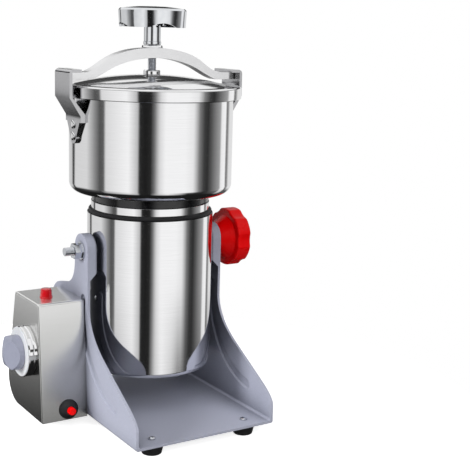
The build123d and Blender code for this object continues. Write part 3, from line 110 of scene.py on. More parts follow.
tent = bpy.data.worlds.new("studio_tent")
bpy.context.scene.world = tent
tent.use_nodes = True
sky = tent.node_tree
sky.nodes.clear()
heading_out = put(sky, "ShaderNodeTexCoord").outputs["Generated"]
split = put(sky, "ShaderNodeSeparateXYZ", {"Vector": heading_out})
climbing = split.outputs["Z"]
to_camera = math.atan2(camera_place.y - head_axis.y, camera_place.x - head_axis.x)
bearing = put(sky, "ShaderNodeMath", {0: split.outputs["Y"], 1: split.outputs["X"]}, operation="ARCTAN2")
turned = put(sky, "ShaderNodeMath", {0: bearing.outputs[0], 1: math.pi - to_camera}, operation="ADD")
wrapped = put(sky, "ShaderNodeMath", {0: turned.outputs[0], 1: math.tau, 2: 0.0}, operation="WRAP")
share = put(sky, "ShaderNodeMath", {0: wrapped.outputs[0], 1: math.tau}, operation="DIVIDE")
cards = (  # degrees right of the camera, seen from the mill, and the tone there
    (-180, "#E4E4E4"), (-144, "#CCCCCC"), (-140, "#444444"), (-136, "#444444"),
    (-131, "#DCDCDC"), (-100, "#E0E0E0"), (-84, "#929292"), (-75, "#565656"),
    (-68, "#606060"), (-65, "#E2E2E2"), (-45, "#F4F4F4"), (-31, "#FFFFFF"),
    (-18, "#C4C4C4"), (-16, "#2A2A2A"), (-7, "#1E1E1E"), (0, "#2A2A2A"), (5, "#747474"), (12, "#E2E2E2"),
    (20, "#FFFFFF"), (48, "#FFFFFF"), (61, "#F2F2F2"), (71, "#7C7C7C"), (79, "#404040"), (86, "#303030"),
    (93, "#585858"), (113, "#A6A6A6"), (116, "#F4F4F4"), (128, "#FFFFFF"),
    (131, "#7A7A7A"), (136, "#8A8A8A"), (143, "#E8E8E8"), (180, "#E4E4E4"),
)
low_cards = (  # the same wall near the floor, where it falls into shade at the sides
    (-180, "#3A3A3A"), (-139, "#242424"), (-126, "#303030"), (-90, "#505050"), (-75, "#3A3A3A"),
    (-66, "#B0B0B0"), (-31, "#E8E8E8"), (-18, "#C0C0C0"), (-16, "#242424"), (0, "#242424"), (12, "#D0D0D0"),
    (24, "#F4F4F4"), (42, "#C0C0C0"), (55, "#303030"), (79, "#282828"), (90, "#3A3A3A"), (113, "#6A6A6A"),
    (116, "#D8D8D8"), (128, "#D8D8D8"), (131, "#606060"), (180, "#3A3A3A"),
)
flags = (  # how high a ray climbs, and the tone there: a dark flag hangs round the tent under its roof
    (0.0, "#F8F8F8"), (0.1, "#F8F8F8"), (0.13, "#3A3A3A"), (0.29, "#484848"), (0.33, "#F8F8F8"),
    (1.0, "#F8F8F8"),
)
wall, low_wall = (ramp(sky, share.outputs[0], [((180 + degrees) / 360, tone) for degrees, tone in side])
                  for side in (cards, low_cards))
falling = put(sky, "ShaderNodeMapRange", {"Value": climbing, "From Min": -0.245, "From Max": -0.36})
shaded = put(sky, "ShaderNodeMix", {0: falling.outputs[0], 6: wall, 7: low_wall}, data_type="RGBA")
beneath = put(sky, "ShaderNodeMapRange", {"Value": climbing, "From Min": -0.42, "From Max": -0.6})
dim = put(sky, "ShaderNodeMix", {0: beneath.outputs[0], 6: shaded.outputs[2], 7: linear("#1C1C1C")},
          data_type="RGBA")
overhead = put(sky, "ShaderNodeMapRange", {"Value": climbing, "From Min": 0.03, "From Max": 0.1})
roof = put(sky, "ShaderNodeMix", {0: overhead.outputs[0], 6: dim.outputs[2], 7: ramp(sky, climbing, flags)},
           data_type="RGBA")
path = put(sky, "ShaderNodeLightPath")
# Mirrors show the cards, but dull surfaces are lit from high in front only. No real tent does both: the
# split is there so that floor and panels fall into shade under the head while the steel stays bright.
high_front = Vector((-0.12, -0.66, 0.74)).normalized()
toward = put(sky, "ShaderNodeVectorMath", {0: heading_out, 1: high_front}, operation="DOT_PRODUCT")
ceiling = ramp(sky, toward.outputs["Value"],
               ((0.0, "#161616"), (0.5, "#202020"), (0.8, "#C8C8C8"), (1.0, "#FFFFFF")))
bounced = put(sky, "ShaderNodeMapRange", {"Value": path.outputs["Diffuse Depth"]})
lit = put(sky, "ShaderNodeMix", {0: bounced.outputs[0], 6: roof.outputs[2], 7: ceiling}, data_type="RGBA")
shown = put(sky, "ShaderNodeMix", {0: path.outputs["Is Camera Ray"], 6: lit.outputs[2], 7: linear("#FFFFFF")},
            data_type="RGBA")
boost = put(sky, "ShaderNodeMapRange", {"Value": path.outputs["Diffuse Depth"], "To Min": 1.0, "To Max": 1.6})
glow = put(sky, "ShaderNodeBackground", {"Color": shown.outputs[2], "Strength": boost.outputs[0]})
put(sky, "ShaderNodeOutputWorld", {"Surface": glow.outputs[0]})
tent.cycles.sampling_method = "NONE"  # light meets the cards only where a surface sends its rays

paper_radius = 0.42
paper_corners = 96
paper_lift = 0.82  # of its own light, for the camera alone, so that the paper shows white round the shadow
sweep_mesh = bpy.data.meshes.new("sweep")
paper_edge = [(head_axis.x + paper_radius * math.cos(a), head_axis.y + paper_radius * math.sin(a), 0.0)
              for a in (math.tau * i / paper_corners for i in range(paper_corners))]
sweep_mesh.from_pydata(paper_edge, [], [range(paper_corners)])
sweep = bpy.data.objects.new("sweep", sweep_mesh)
bpy.context.scene.collection.objects.link(sweep)
paper = bpy.data.materials.new("white_paper")
paper.use_nodes = True
paper.node_tree.nodes.clear()
matt = put(paper.node_tree, "ShaderNodeBsdfDiffuse", {"Color": linear("#F2F2F2")})
ray = put(paper.node_tree, "ShaderNodeLightPath")
seen = put(paper.node_tree, "ShaderNodeMath", {0: ray.outputs["Is Camera Ray"], 1: paper_lift},
           operation="MULTIPLY")
lift = put(paper.node_tree, "ShaderNodeEmission", {"Color": linear("#FFFFFF"), "Strength": seen.outputs[0]})
both = put(paper.node_tree, "ShaderNodeAddShader", {0: matt.outputs[0], 1: lift.outputs[0]})
put(paper.node_tree, "ShaderNodeOutputMaterial", {"Surface": both.outputs[0]})
sweep_mesh.materials.append(paper)
sweep.visible_glossy = False

aim_height = 0.2
lamps = (  # name, place from the head's axis in metres, watts and width in metres
    ("key", (-1.5, 0.05, 0.7), 17.0, 0.5),
    ("front", (-0.3, -1.5, 1.0), 3.0, 0.4),
)
for lamp, place, power, size in lamps:
    lamp_data = bpy.data.lights.new(lamp, "AREA")
    lamp_data.energy = power
    lamp_data.size = size
    softbox = bpy.data.objects.new(lamp, lamp_data)
    softbox.location = head_axis + Vector(place)
    aim = head_axis + Vector((0, 0, aim_height)) - softbox.location
    softbox.rotation_euler = aim.to_track_quat("-Z", "Y").to_euler()
    softbox.visible_glossy = False
    bpy.context.scene.collection.objects.link(softbox)

# ---- base frame ----------------------------------------------------------------------------------
# One sheet of 3 mm mild steel, cut and folded into a floor and two side panels, each running up into an
# arm with a welded round head. A curved rib is pressed into each panel. Powder coated lavender grey.


def surface(name, base, roughness, metallic=0.0, **sockets):
    """A material with its Principled shader, and the tree for its patterns."""
    material = bpy.data.materials.new(name)
    material.use_nodes = True
    shader = material.node_tree.nodes["Principled BSDF"]
    shader.inputs["Base Color"].default_value = linear(base)
    shader.inputs["Roughness"].default_value = roughness
    shader.inputs["Metallic"].default_value = metallic
    for label, value in sockets.items():
        shader.inputs[label.replace("_", " ")].default_value = value
    return material, material.node_tree, shader


def grain(tree, across, detail=2.0):
    """Noise whose spots measure across = (x, y, z) millimetres."""
    place = put(tree, "ShaderNodeTexCoord").outputs["Object"]
    scaled = put(tree, "ShaderNodeMapping", {"Vector": place, "Scale": [1000 / size for size in across]})
    noise = put(tree, "ShaderNodeTexNoise", {"Vector": scaled.outputs[0], "Scale": 1.0, "Detail": detail})
    return noise.outputs["Fac"]


def vary(tree, shader, factor, rough=None, tones=None, relief=None):
    """Let a pattern drive roughness (low, high), tones (dark, light hex) and relief in millimetres."""
    if rough:
        spread = put(tree, "ShaderNodeMapRange", {"Value": factor, "From Min": 0.3, "From Max": 0.7,
                                                  "To Min": rough[0], "To Max": rough[1]})
        tree.links.new(spread.outputs[0], shader.inputs["Roughness"])
    if tones:
        tree.links.new(ramp(tree, factor, ((0.3, tones[0]), (0.7, tones[1]))), shader.inputs["Base Color"])
    if relief:
        bump = put(tree, "ShaderNodeBump", {"Height": factor, "Distance": relief / 1000, "Strength": 1.0})
        tree.links.new(bump.outputs[0], shader.inputs["Normal"])


def dress(material, *nodes):
    """Give CAD nodes their real finish."""
    for name in nodes:
        slots = frame["nodes"][name].data.materials
        slots.clear()
        slots.append(material)


def seat(piece, material, body, finish, *nodes):
    """Make a piece's modifiers plain mesh, and let it stand for CAD nodes on a body."""
    graph = bpy.context.evaluated_depsgraph_get()
    mesh = bpy.data.meshes.new_from_object(piece.evaluated_get(graph))
    piece.modifiers.clear()
    piece.data = mesh
    mesh.materials.clear()
    mesh.materials.append(material)
    mesh.polygons.foreach_set("material_index", [0] * len(mesh.polygons))
    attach(piece, body)
    if nodes:
        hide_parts(*nodes)


def softened(node, name, material, body, finish, edge_mm):
    """A CAD node's own shape with its sharp edges rounded over."""
    shape = bmesh.new()
    shape.from_mesh(frame["nodes"][node].data)
    bmesh.ops.remove_doubles(shape, verts=shape.verts, dist=1e-6)
    bmesh.ops.dissolve_limit(shape, angle_limit=math.radians(0.4), verts=shape.verts, edges=shape.edges)
    mesh = bpy.data.meshes.new(name)
    shape.to_mesh(mesh)
    shape.free()
    mesh.shade_smooth()
    piece = bpy.data.objects.new(name, mesh)
    bpy.context.scene.collection.objects.link(piece)
    rounding = piece.modifiers.new("rounding", "BEVEL")
    rounding.width = edge_mm / 1000
    rounding.segments = 3
    rounding.angle_limit = math.radians(35)
    rounding.use_clamp_overlap = True
    piece.modifiers.new("flats", "WEIGHTED_NORMAL").keep_sharp = True
    seat(piece, material, body, finish, node)
    return piece


# Powder coat is a baked polyester film. It has a soft sheen and a faint orange peel of 1 to 2 mm. Its
# mirror level is set below the usual half, since the bright cards would wash its shaded sides out.
powder, tree, shader = surface("powder_coat", "#AFB3C2", 0.5, Specular_IOR_Level=0.15)
vary(tree, shader, grain(tree, (1.6, 1.6, 1.6)), rough=(0.45, 0.56),
     tones=("#AFB2C2", "#B7BACA"), relief=0.02)
# The coat is toned down where other surfaces stand within 50 mm. Only in the very corners is that a real
# thin coat. The rest is added shade, its strength matched, and it stays in the colour under any other light.
shade_reach = 0.05
corner = put(tree, "ShaderNodeAmbientOcclusion", {"Distance": shade_reach}, samples=6)
reach = put(tree, "ShaderNodeMapRange", {"Value": corner.outputs["AO"], "From Min": 0.3, "From Max": 0.8})
thin_coat_and_painted_shade = put(tree, "ShaderNodeMix", {0: reach.outputs[0], 6: linear("#50525E"),
                                   7: shader.inputs["Base Color"].links[0].from_socket}, data_type="RGBA")
tree.links.new(thin_coat_and_painted_shade.outputs[2], shader.inputs["Base Color"])
softened("base_frame", "folded_frame", powder, "frame", "coated_steel", 1.0)

# ---- feet and their screws -----------------------------------------------------------------------
# Four moulded rubber cones under the floor. A zinc plated pan head screw from above goes into the
# threaded insert of each. The screws have a cross recess.
rubber, tree, shader = surface("moulded_rubber", "#17171A", 0.55)
vary(tree, shader, grain(tree, (0.8, 0.8, 0.8)), rough=(0.45, 0.65),
     tones=("#131315", "#1E1E21"), relief=0.03)
dress(rubber, "rubber_feet")

fastener = bpy.data.node_groups.new("pan_head_fastener", "GeometryNodeTree")
face = fastener.interface
face.new_socket(name="Seats", in_out="INPUT", socket_type="NodeSocketGeometry")
for label, start in (("Head Radius", 0.004), ("Head Height", 0.0024), ("Flatness", 0.5),
                     ("Recess Length", 0.0), ("Shank Radius", 0.002), ("Shank Length", 0.01)):
    face.new_socket(name=label, in_out="INPUT", socket_type="NodeSocketFloat").default_value = start
face.new_socket(name="Metal", in_out="INPUT", socket_type="NodeSocketMaterial")
face.new_socket(name="Fasteners", in_out="OUTPUT", socket_type="NodeSocketGeometry")
given = put(fastener, "NodeGroupInput").outputs
ball = put(fastener, "GeometryNodeMeshUVSphere", {"Segments": 32, "Rings": 20, "Radius": 1.0})
here = put(fastener, "GeometryNodeInputPosition")
spot = put(fastener, "ShaderNodeSeparateXYZ", {0: here.outputs[0]}).outputs
above = put(fastener, "ShaderNodeMath", {0: spot["Z"], 1: 0.0}, operation="MAXIMUM")
crowned = put(fastener, "ShaderNodeMath", {0: above.outputs[0], 1: given["Flatness"]}, operation="POWER")
wide_x = put(fastener, "ShaderNodeMath", {0: spot["X"], 1: given["Head Radius"]}, operation="MULTIPLY")
wide_y = put(fastener, "ShaderNodeMath", {0: spot["Y"], 1: given["Head Radius"]}, operation="MULTIPLY")
tall = put(fastener, "ShaderNodeMath", {0: crowned.outputs[0], 1: given["Head Height"]}, operation="MULTIPLY")
moved = put(fastener, "ShaderNodeCombineXYZ",
            {0: wide_x.outputs[0], 1: wide_y.outputs[0], 2: tall.outputs[0]})
head = put(fastener, "GeometryNodeSetPosition",
           {"Geometry": ball.outputs["Mesh"], "Position": moved.outputs[0]})
recess_share = 0.26  # how wide an arm of the cross is, as a share of its length
narrow = put(fastener, "ShaderNodeMath", {0: given["Recess Length"], 1: recess_share}, operation="MULTIPLY")
slot_top = put(fastener, "ShaderNodeCombineXYZ", {2: given["Head Height"]})
cut = head
for long_way in (0, 1):
    span = put(fastener, "ShaderNodeCombineXYZ",
               {long_way: given["Recess Length"], 1 - long_way: narrow.outputs[0], 2: given["Head Height"]})
    bar = put(fastener, "GeometryNodeMeshCube", {"Size": span.outputs[0]})
    bar = put(fastener, "GeometryNodeTransform",
              {"Geometry": bar.outputs["Mesh"], "Translation": slot_top.outputs[0]})
    cut = put(fastener, "GeometryNodeMeshBoolean", {"Mesh 1": cut.outputs[0], "Mesh 2": bar.outputs[0]},
              operation="DIFFERENCE")
crossed = put(fastener, "FunctionNodeCompare", {0: given["Recess Length"], 1: 0.0}, operation="GREATER_THAN")
top = put(fastener, "GeometryNodeSwitch", {0: crossed.outputs[0], 1: head.outputs[0], 2: cut.outputs[0]},
          input_type="GEOMETRY")
shank = put(fastener, "GeometryNodeMeshCylinder", {"Vertices": 20, "Radius": given["Shank Radius"],
                                                   "Depth": given["Shank Length"]})
half = put(fastener, "ShaderNodeMath", {0: given["Shank Length"], 1: -0.5}, operation="MULTIPLY")
down = put(fastener, "ShaderNodeCombineXYZ", {2: half.outputs[0]})
shank = put(fastener, "GeometryNodeTransform",
            {"Geometry": shank.outputs["Mesh"], "Translation": down.outputs[0]})
whole = put(fastener, "GeometryNodeJoinGeometry")
fastener.links.new(top.outputs[0], whole.inputs[0])
fastener.links.new(shank.outputs[0], whole.inputs[0])
facing = put(fastener, "GeometryNodeInputNamedAttribute", {"Name": "facing"}, data_type="FLOAT_VECTOR")
upright = put(fastener, "FunctionNodeAlignRotationToVector", {"Vector": facing.outputs[0]}, axis="Z")
copies = put(fastener, "GeometryNodeInstanceOnPoints",
             {"Points": given["Seats"], "Instance": whole.outputs[0], "Rotation": upright.outputs[0]})
real = put(fastener, "GeometryNodeRealizeInstances", {0: copies.outputs[0]})
metal = put(fastener, "GeometryNodeSetMaterial", {"Geometry": real.outputs[0], "Material": given["Metal"]})
put(fastener, "NodeGroupOutput", {0: metal.outputs[0]})


def grown(name, tree, points, facings, **sizes):
    """An object that grows from seat points through a node tree. Sizes are the tree's own named inputs."""
    mesh = bpy.data.meshes.new(name)
    mesh.from_pydata(points, [], [])
    mesh.attributes.new("facing", "FLOAT_VECTOR", "POINT")
    mesh.attributes["facing"].data.foreach_set("vector", [value for facing in facings for value in facing])
    piece = bpy.data.objects.new(name, mesh)
    bpy.context.scene.collection.objects.link(piece)
    growth = piece.modifiers.new("growth", "NODES")
    growth.node_group = tree
    for socket in tree.interface.items_tree:
        label = socket.name.replace(" ", "_")
        if label in sizes:
            growth[socket.identifier] = sizes[label]
    return piece


def islands(node):
    """The (lowest, highest) corners of each separate solid in a CAD node."""
    shape = bmesh.new()
    shape.from_mesh(frame["nodes"][node].data)
    bmesh.ops.remove_doubles(shape, verts=shape.verts, dist=1e-6)
    waiting = set(shape.verts)
    corners = []
    while waiting:
        found = [waiting.pop()]
        for vert in found:
            for edge in vert.link_edges:
                other = edge.other_vert(vert)
                if other in waiting:
                    waiting.remove(other)
                    found.append(other)
        corners.append(tuple(Vector([pick(v.co[i] for v in found) for i in range(3)]) for pick in (min, max)))
    shape.free()
    return sorted(corners, key=lambda pair: tuple(pair[0]))


def fasteners(node, axis, sign, name, metal, body, finish,
              head_height, head_radius, shank_radius, recess, flatness=0.5):
    """Cross recess or rivet heads in place of a CAD node of like fasteners that lie along one axis."""
    seats, facings, length = [], [], 0.0
    for low, high in islands(node):
        middle = (low + high) / 2
        outward = sign if sign else math.copysign(1.0, middle[axis] - head_axis[axis])
        middle[axis] = (high if outward > 0 else low)[axis] - outward * head_height
        length = (high - low)[axis] - head_height
        seats.append(middle)
        facings.append([outward if i == axis else 0.0 for i in range(3)])
    piece = grown(name, fastener, seats, facings, Head_Radius=head_radius, Head_Height=head_height,
                  Flatness=flatness, Recess_Length=recess, Shank_Radius=shank_radius, Shank_Length=length,
                  Metal=metal)
    seat(piece, metal, body, finish, node)


# Bright zinc plating over rolled steel: a thin bluish metal film, a little duller than polished steel.
zinc, tree, shader = surface("bright_zinc_plate", "#D3D6DB", 0.13, 1.0)
vary(tree, shader, grain(tree, (0.5, 0.5, 0.5)), rough=(0.09, 0.18), tones=("#CCCFD5", "#DADCE0"))
m4_pan = {"head_height": 0.0024, "head_radius": 0.004, "shank_radius": 0.002, "recess": 0.0044}
fasteners("foot_screws", 2, 1, "foot_screw_set", zinc, "frame", "zinc_steel", **m4_pan)

# ---- control box ---------------------------------------------------------------------------------
# A case folded from 1.2 mm stainless sheet with a rounded rear foot. Its turned-in flange is screwed to the
# left side panel from inside, with pan head screws. The sheet has a bright rolled finish.
# Bright rolled stainless: even, and dull enough to blur what it mirrors to soft patches.
sheet_steel, tree, shader = surface("bright_rolled_stainless", "#EDEDEC", 0.25, 1.0)
vary(tree, shader, grain(tree, (60, 60, 0.6)), rough=(0.24, 0.26), tones=("#EBEBEA", "#EFEFEE"))
# The sheet is toned down towards the foot. No real finish does that: it stands for the dark floor that a
# studio's mirror would pick up there, its tones are matched, and it stays under any other light.
case_foot, case_top = (corner[2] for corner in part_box("control_box"))
place = put(tree, "ShaderNodeTexCoord")
height = put(tree, "ShaderNodeSeparateXYZ", {0: place.outputs["Object"]}).outputs["Z"]
risen = put(tree, "ShaderNodeMapRange", {"Value": height, "From Min": case_foot, "From Max": case_top})
fade = ramp(tree, risen.outputs[0], ((0.0, "#9C9C9B"), (0.55, "#DCDCDB"), (1.0, "#FFFFFF")))
faded = put(tree, "ShaderNodeMix", {0: 1.0, 6: shader.inputs["Base Color"].links[0].from_socket, 7: fade},
            data_type="RGBA", blend_type="MULTIPLY")
tree.links.new(faded.outputs[2], shader.inputs["Base Color"])
softened("control_box", "folded_case", sheet_steel, "frame", "satin_stainless", 0.3)
fasteners("box_screws", 0, 1, "box_screw_set", zinc, "frame", "zinc_steel", **m4_pan)

# ---- timer ---------------------------------------------------------------------------------------
# A clockwork timer behind the case's outer wall. Its shaft comes out through a polished double collar and a
# white dial to a moulded knob with a ridged grip. The collar has a notch cut in it on the side.
# Mirror polished stainless, buffed: very low roughness, with the faint circular haze of the buff.
polished, tree, shader = surface("mirror_polished_stainless", "#F1F1F2", 0.07, 1.0)
vary(tree, shader, grain(tree, (40, 40, 0.5)), rough=(0.045, 0.1),
     tones=("#EEEEEF", "#F4F4F5"), relief=0.0008)
dress(polished, "timer_collar")
# Nylon is moulded from white granules. It is slightly milky, with a fine spark-eroded texture.
nylon, tree, shader = surface("moulded_white_nylon", "#E4E4E6", 0.38, Subsurface_Weight=0.05)
vary(tree, shader, grain(tree, (0.7, 0.7, 0.7)), rough=(0.34, 0.44),
     tones=("#DFDFE2", "#E9E9EB"), relief=0.01)
softened("timer_dial", "dial_disc", nylon, "frame", "white_plastic", 0.4)
dress(nylon, "timer_body")
# ABS, moulded in a grey tool with a satin texture that scatters the lamp's reflection.
abs_grey, tree, shader = surface("moulded_grey_abs", "#9396A7", 0.3)
vary(tree, shader, grain(tree, (0.9, 0.9, 0.9)), rough=(0.26, 0.36),
     tones=("#8F92A3", "#989BAC"), relief=0.012)
softened("timer_knob", "timer_grip", abs_grey, "timer_knob", "grey_plastic", 1.1)
dress(zinc, "timer_shaft")

# ---- power lamp ----------------------------------------------------------------------------------
# A neon lamp under a smooth tapered red lens, on a thin collar. It is moulded in clear
# red polycarbonate, and its threaded body clips through the top of the case.


def lathe(name, profile, origin, direction):
    """A turned piece from (radius, height) points in metres about an axis."""
    shape = bmesh.new()
    around = Vector(direction).normalized().to_track_quat("Z", "Y").to_matrix().to_4x4()
    place = Matrix.Translation(origin) @ around
    count = 96
    rings = []
    for radius, height in profile:
        if radius == 0.0:
            rings.append([shape.verts.new(place @ Vector((0, 0, height)))] * count)
            continue
        angles = [math.tau * i / count for i in range(count)]
        rings.append([shape.verts.new(place @ Vector((radius * math.cos(a), radius * math.sin(a), height)))
                      for a in angles])
    closed = profile[0][0] > 0.0
    pairs = list(zip(rings, rings[1:])) + ([(rings[-1], rings[0])] if closed else [])
    for lower, upper in pairs:
        for i in range(count):
            j = (i + 1) % count
            corners = list(dict.fromkeys((lower[i], lower[j], upper[j], upper[i])))
            if len(corners) > 2:
                shape.faces.new(corners)
    bmesh.ops.recalc_face_normals(shape, faces=shape.faces)
    mesh = bpy.data.meshes.new(name)
    shape.to_mesh(mesh)
    shape.free()
    mesh.shade_smooth()
    mesh.set_sharp_from_angle(angle=math.radians(40))
    piece = bpy.data.objects.new(name, mesh)
    bpy.context.scene.collection.objects.link(piece)
    return piece


def middle_of(node):
    """The middle of a CAD node's box."""
    low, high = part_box(node)
    return (Vector(low) + Vector(high)) / 2


# Clear red polycarbonate: glossy, and it lets the light through to the white reflector inside.
lens_red, tree, shader = surface("clear_red_polycarbonate", "#E8101C", 0.09,
                                 Transmission_Weight=0.35, Coat_Weight=0.6)
vary(tree, shader, grain(tree, (3, 3, 8)), rough=(0.06, 0.13), tones=("#D80812", "#F22030"))
lens_low, lens_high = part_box("lamp_lens")
lens_radius = (lens_high[0] - lens_low[0]) / 2
lens_tall = lens_high[2] - lens_low[2]
lens_foot = middle_of("lamp_lens")
lens_foot.z = lens_low[2]
lens = lathe("lamp_lens_red", (
    (0.0, 0.0), (lens_radius, 0.0), (lens_radius, 0.0009), (lens_radius - 0.0005, 0.0012),
    (lens_radius - 0.0006, 0.0014), (lens_radius - 0.0012, lens_tall - 0.0022),
    (lens_radius - 0.0017, lens_tall - 0.0008), (lens_radius - 0.0030, lens_tall - 0.0002), (0.0, lens_tall),
), lens_foot, (0, 0, 1))
seat(lens, lens_red, "frame", "red_lens", "lamp_lens")
# Glass filled nylon, moulded black: matt, with a dull grain.
black_nylon, tree, shader = surface("moulded_black_nylon", "#1A1A1C", 0.5)
vary(tree, shader, grain(tree, (0.8, 0.8, 0.8)), rough=(0.42, 0.58),
     tones=("#161617", "#212123"), relief=0.015)
dress(black_nylon, "lamp_body", "breaker_body", "terminal_block")

# ---- overload breaker ----------------------------------------------------------------------------
# A thermal breaker behind the lower front of the case. A ringed black rubber boot covers its nut, and the
# red reset button stands out through the boot. It is pressed in to reset the breaker.
button_axis = Vector(next(joint["axis"] for joint in frame["joints"] if joint["name"] == "reset_press"))
outward = -button_axis.normalized()
boot_low, boot_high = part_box("breaker_boot")
boot_radius = (boot_high[0] - boot_low[0]) / 2
boot_depth = 0.0065
boot_middle = middle_of("breaker_boot")
boot_foot = boot_middle - outward * boot_depth / 2
button_radius = 0.0044
button_gap = 0.00005
button_behind = 0.022 / 3  # of the button's length, behind the boot's foot
button_before = 0.013  # and before it
boot = lathe("ringed_boot", (
    (button_radius + button_gap, 0.0), (boot_radius, 0.0), (boot_radius, 0.0016),
    (boot_radius - 0.0008, 0.0022), (boot_radius - 0.0008, 0.0028),
    (boot_radius - 0.0016, 0.0036), (boot_radius - 0.0030, 0.0048),
    (boot_radius - 0.0048, 0.0058), (button_radius + 0.0012, boot_depth),
    (button_radius + button_gap, boot_depth),
), boot_foot, outward)
seat(boot, rubber, "frame", "black_rubber", "breaker_boot")
# Phenolic, pressed hot and buffed: clear red and hard, with faint cloudy flow marks. Its mirror level is
# set low, since the bright cards would grey the red.
phenolic, tree, shader = surface("buffed_red_phenolic", "#F40004", 0.3, Specular_IOR_Level=0.16)
vary(tree, shader, grain(tree, (12, 12, 12), 2.0), rough=(0.26, 0.34),
     tones=("#F00003", "#F80206"), relief=0.006)
button_low = boot_foot - outward * button_behind
button_long = button_behind + button_before
button = lathe("reset_tip", (
    (0.0, 0.0), (button_radius, 0.0), (button_radius, button_long - 0.0016),
    (button_radius - 0.0004, button_long - 0.0006), (button_radius - 0.0012, button_long - 0.0001),
    (button_radius - 0.0024, button_long), (0.0, button_long - 0.0003),
), button_low, outward)
seat(button, phenolic, "reset_button", "red_phenolic", "reset_button")

# ---- cord inlet ----------------------------------------------------------------------------------
# A flanged rubber grommet in the rear wall of the case. The cord comes in through it to the terminal block.
dress(rubber, "cord_inlet")

# ---- motor housing -------------------------------------------------------------------------------
# A stainless can, spun from 1.5 mm sheet, with a lip turned in on top and a ring of cooling slots in its
# floor. It is mirror polished on the lathe, so its fine lines run round it.
dress(polished, "motor_housing")

# ---- pivots --------------------------------------------------------------------------------------
# Threaded steel blocks are welded inside the can. On the left an M10 stud and a flanged nut hold the arm,
# and on the right a pressed red knob on its own stud clamps the tilt.
helix = bpy.data.node_groups.new("rolled_thread", "GeometryNodeTree")
face = helix.interface
face.new_socket(name="Seats", in_out="INPUT", socket_type="NodeSocketGeometry")
for label, start in (("Radius", 0.005), ("Pitch", 0.0015), ("Depth", 0.0008), ("Length", 0.03)):
    face.new_socket(name=label, in_out="INPUT", socket_type="NodeSocketFloat").default_value = start
face.new_socket(name="Rows", in_out="INPUT", socket_type="NodeSocketInt").default_value = 100
face.new_socket(name="Metal", in_out="INPUT", socket_type="NodeSocketMaterial")
face.new_socket(name="Thread", in_out="OUTPUT", socket_type="NodeSocketGeometry")
given = put(helix, "NodeGroupInput").outputs
rod = put(helix, "GeometryNodeMeshCylinder", {"Vertices": 32, "Side Segments": given["Rows"],
                                              "Radius": given["Radius"], "Depth": given["Length"]})
here = put(helix, "GeometryNodeInputPosition")
spot = put(helix, "ShaderNodeSeparateXYZ", {0: here.outputs[0]}).outputs
angle = put(helix, "ShaderNodeMath", {0: spot["Y"], 1: spot["X"]}, operation="ARCTAN2")
turns = put(helix, "ShaderNodeMath", {0: angle.outputs[0], 1: math.tau}, operation="DIVIDE")
climb = put(helix, "ShaderNodeMath", {0: spot["Z"], 1: given["Pitch"]}, operation="DIVIDE")
phase = put(helix, "ShaderNodeMath", {0: climb.outputs[0], 1: turns.outputs[0]}, operation="SUBTRACT")
flank = put(helix, "ShaderNodeMath", {0: phase.outputs[0], 1: 0.5}, operation="PINGPONG")
groove = put(helix, "ShaderNodeMath", {0: flank.outputs[0], 1: given["Depth"]}, operation="MULTIPLY")
share = put(helix, "ShaderNodeMath", {0: groove.outputs[0], 1: given["Radius"]}, operation="DIVIDE")
keep = put(helix, "ShaderNodeMath", {0: 1.0, 1: share.outputs[0]}, operation="SUBTRACT")
inwards = put(helix, "ShaderNodeCombineXYZ", {0: keep.outputs[0], 1: keep.outputs[0], 2: 1.0})
moved = put(helix, "ShaderNodeVectorMath", {0: here.outputs[0], 1: inwards.outputs[0]}, operation="MULTIPLY")
cut = put(helix, "GeometryNodeSetPosition", {"Geometry": rod.outputs["Mesh"], "Position": moved.outputs[0]})
facing = put(helix, "GeometryNodeInputNamedAttribute", {"Name": "facing"}, data_type="FLOAT_VECTOR")
upright = put(helix, "FunctionNodeAlignRotationToVector", {"Vector": facing.outputs[0]}, axis="Z")
copies = put(helix, "GeometryNodeInstanceOnPoints",
             {"Points": given["Seats"], "Instance": cut.outputs[0], "Rotation": upright.outputs[0]})
real = put(helix, "GeometryNodeRealizeInstances", {0: copies.outputs[0]})
metal = put(helix, "GeometryNodeSetMaterial", {"Geometry": real.outputs[0], "Material": given["Metal"]})
put(helix, "NodeGroupOutput", {0: metal.outputs[0]})


m10_radius, m10_pitch, flank_depth = 0.005, 0.0015, 0.0016
rows_in_pitch = 10


def threaded(name, start, end, metal, body, finish, *nodes):
    """An M10 x 1.5 threaded rod between two places."""
    start, end = Vector(start), Vector(end)
    length = (end - start).length
    piece = grown(name, helix, [(start + end) / 2], [(end - start).normalized()], Radius=m10_radius,
                  Pitch=m10_pitch, Depth=flank_depth, Length=length,
                  Rows=round(length * rows_in_pitch / m10_pitch), Metal=metal)
    seat(piece, metal, body, finish, *nodes)
    return piece


low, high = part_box("pivot_stud")
level = middle_of("pivot_stud")
threaded("left_stud", (high[0], level.y, level.z), (low[0], level.y, level.z), zinc, "frame", "zinc_steel",
         "pivot_stud")
softened("pivot_nut", "flanged_nut", zinc, "frame", "zinc_steel", 0.5)
low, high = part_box("lock_stud")
threaded("right_stud", (low[0], level.y, level.z), (high[0], level.y, level.z), zinc, "lock_knob",
         "zinc_steel", "lock_stud")
dress(phenolic, "lock_knob")
# Turned mild steel, left bare: grey, with tool marks round it.
turned_steel, tree, shader = surface("turned_mild_steel", "#A9AAAD", 0.3, 1.0)
vary(tree, shader, grain(tree, (30, 30, 0.3)), rough=(0.22, 0.4),
     tones=("#9C9DA1", "#B6B7BA"), relief=0.003)
dress(turned_steel, "trunnions")

# ---- neck ----------------------------------------------------------------------------------------
# A black rubber ring lies on the can, then a turned and polished steel collar, then the black enamelled
# casting that carries the bowl and the motor. Four screws from inside the can hold them together.
dress(rubber, "neck_spacer")
softened("neck_collar", "bright_collar", polished, "head", "polished_stainless", 0.5)
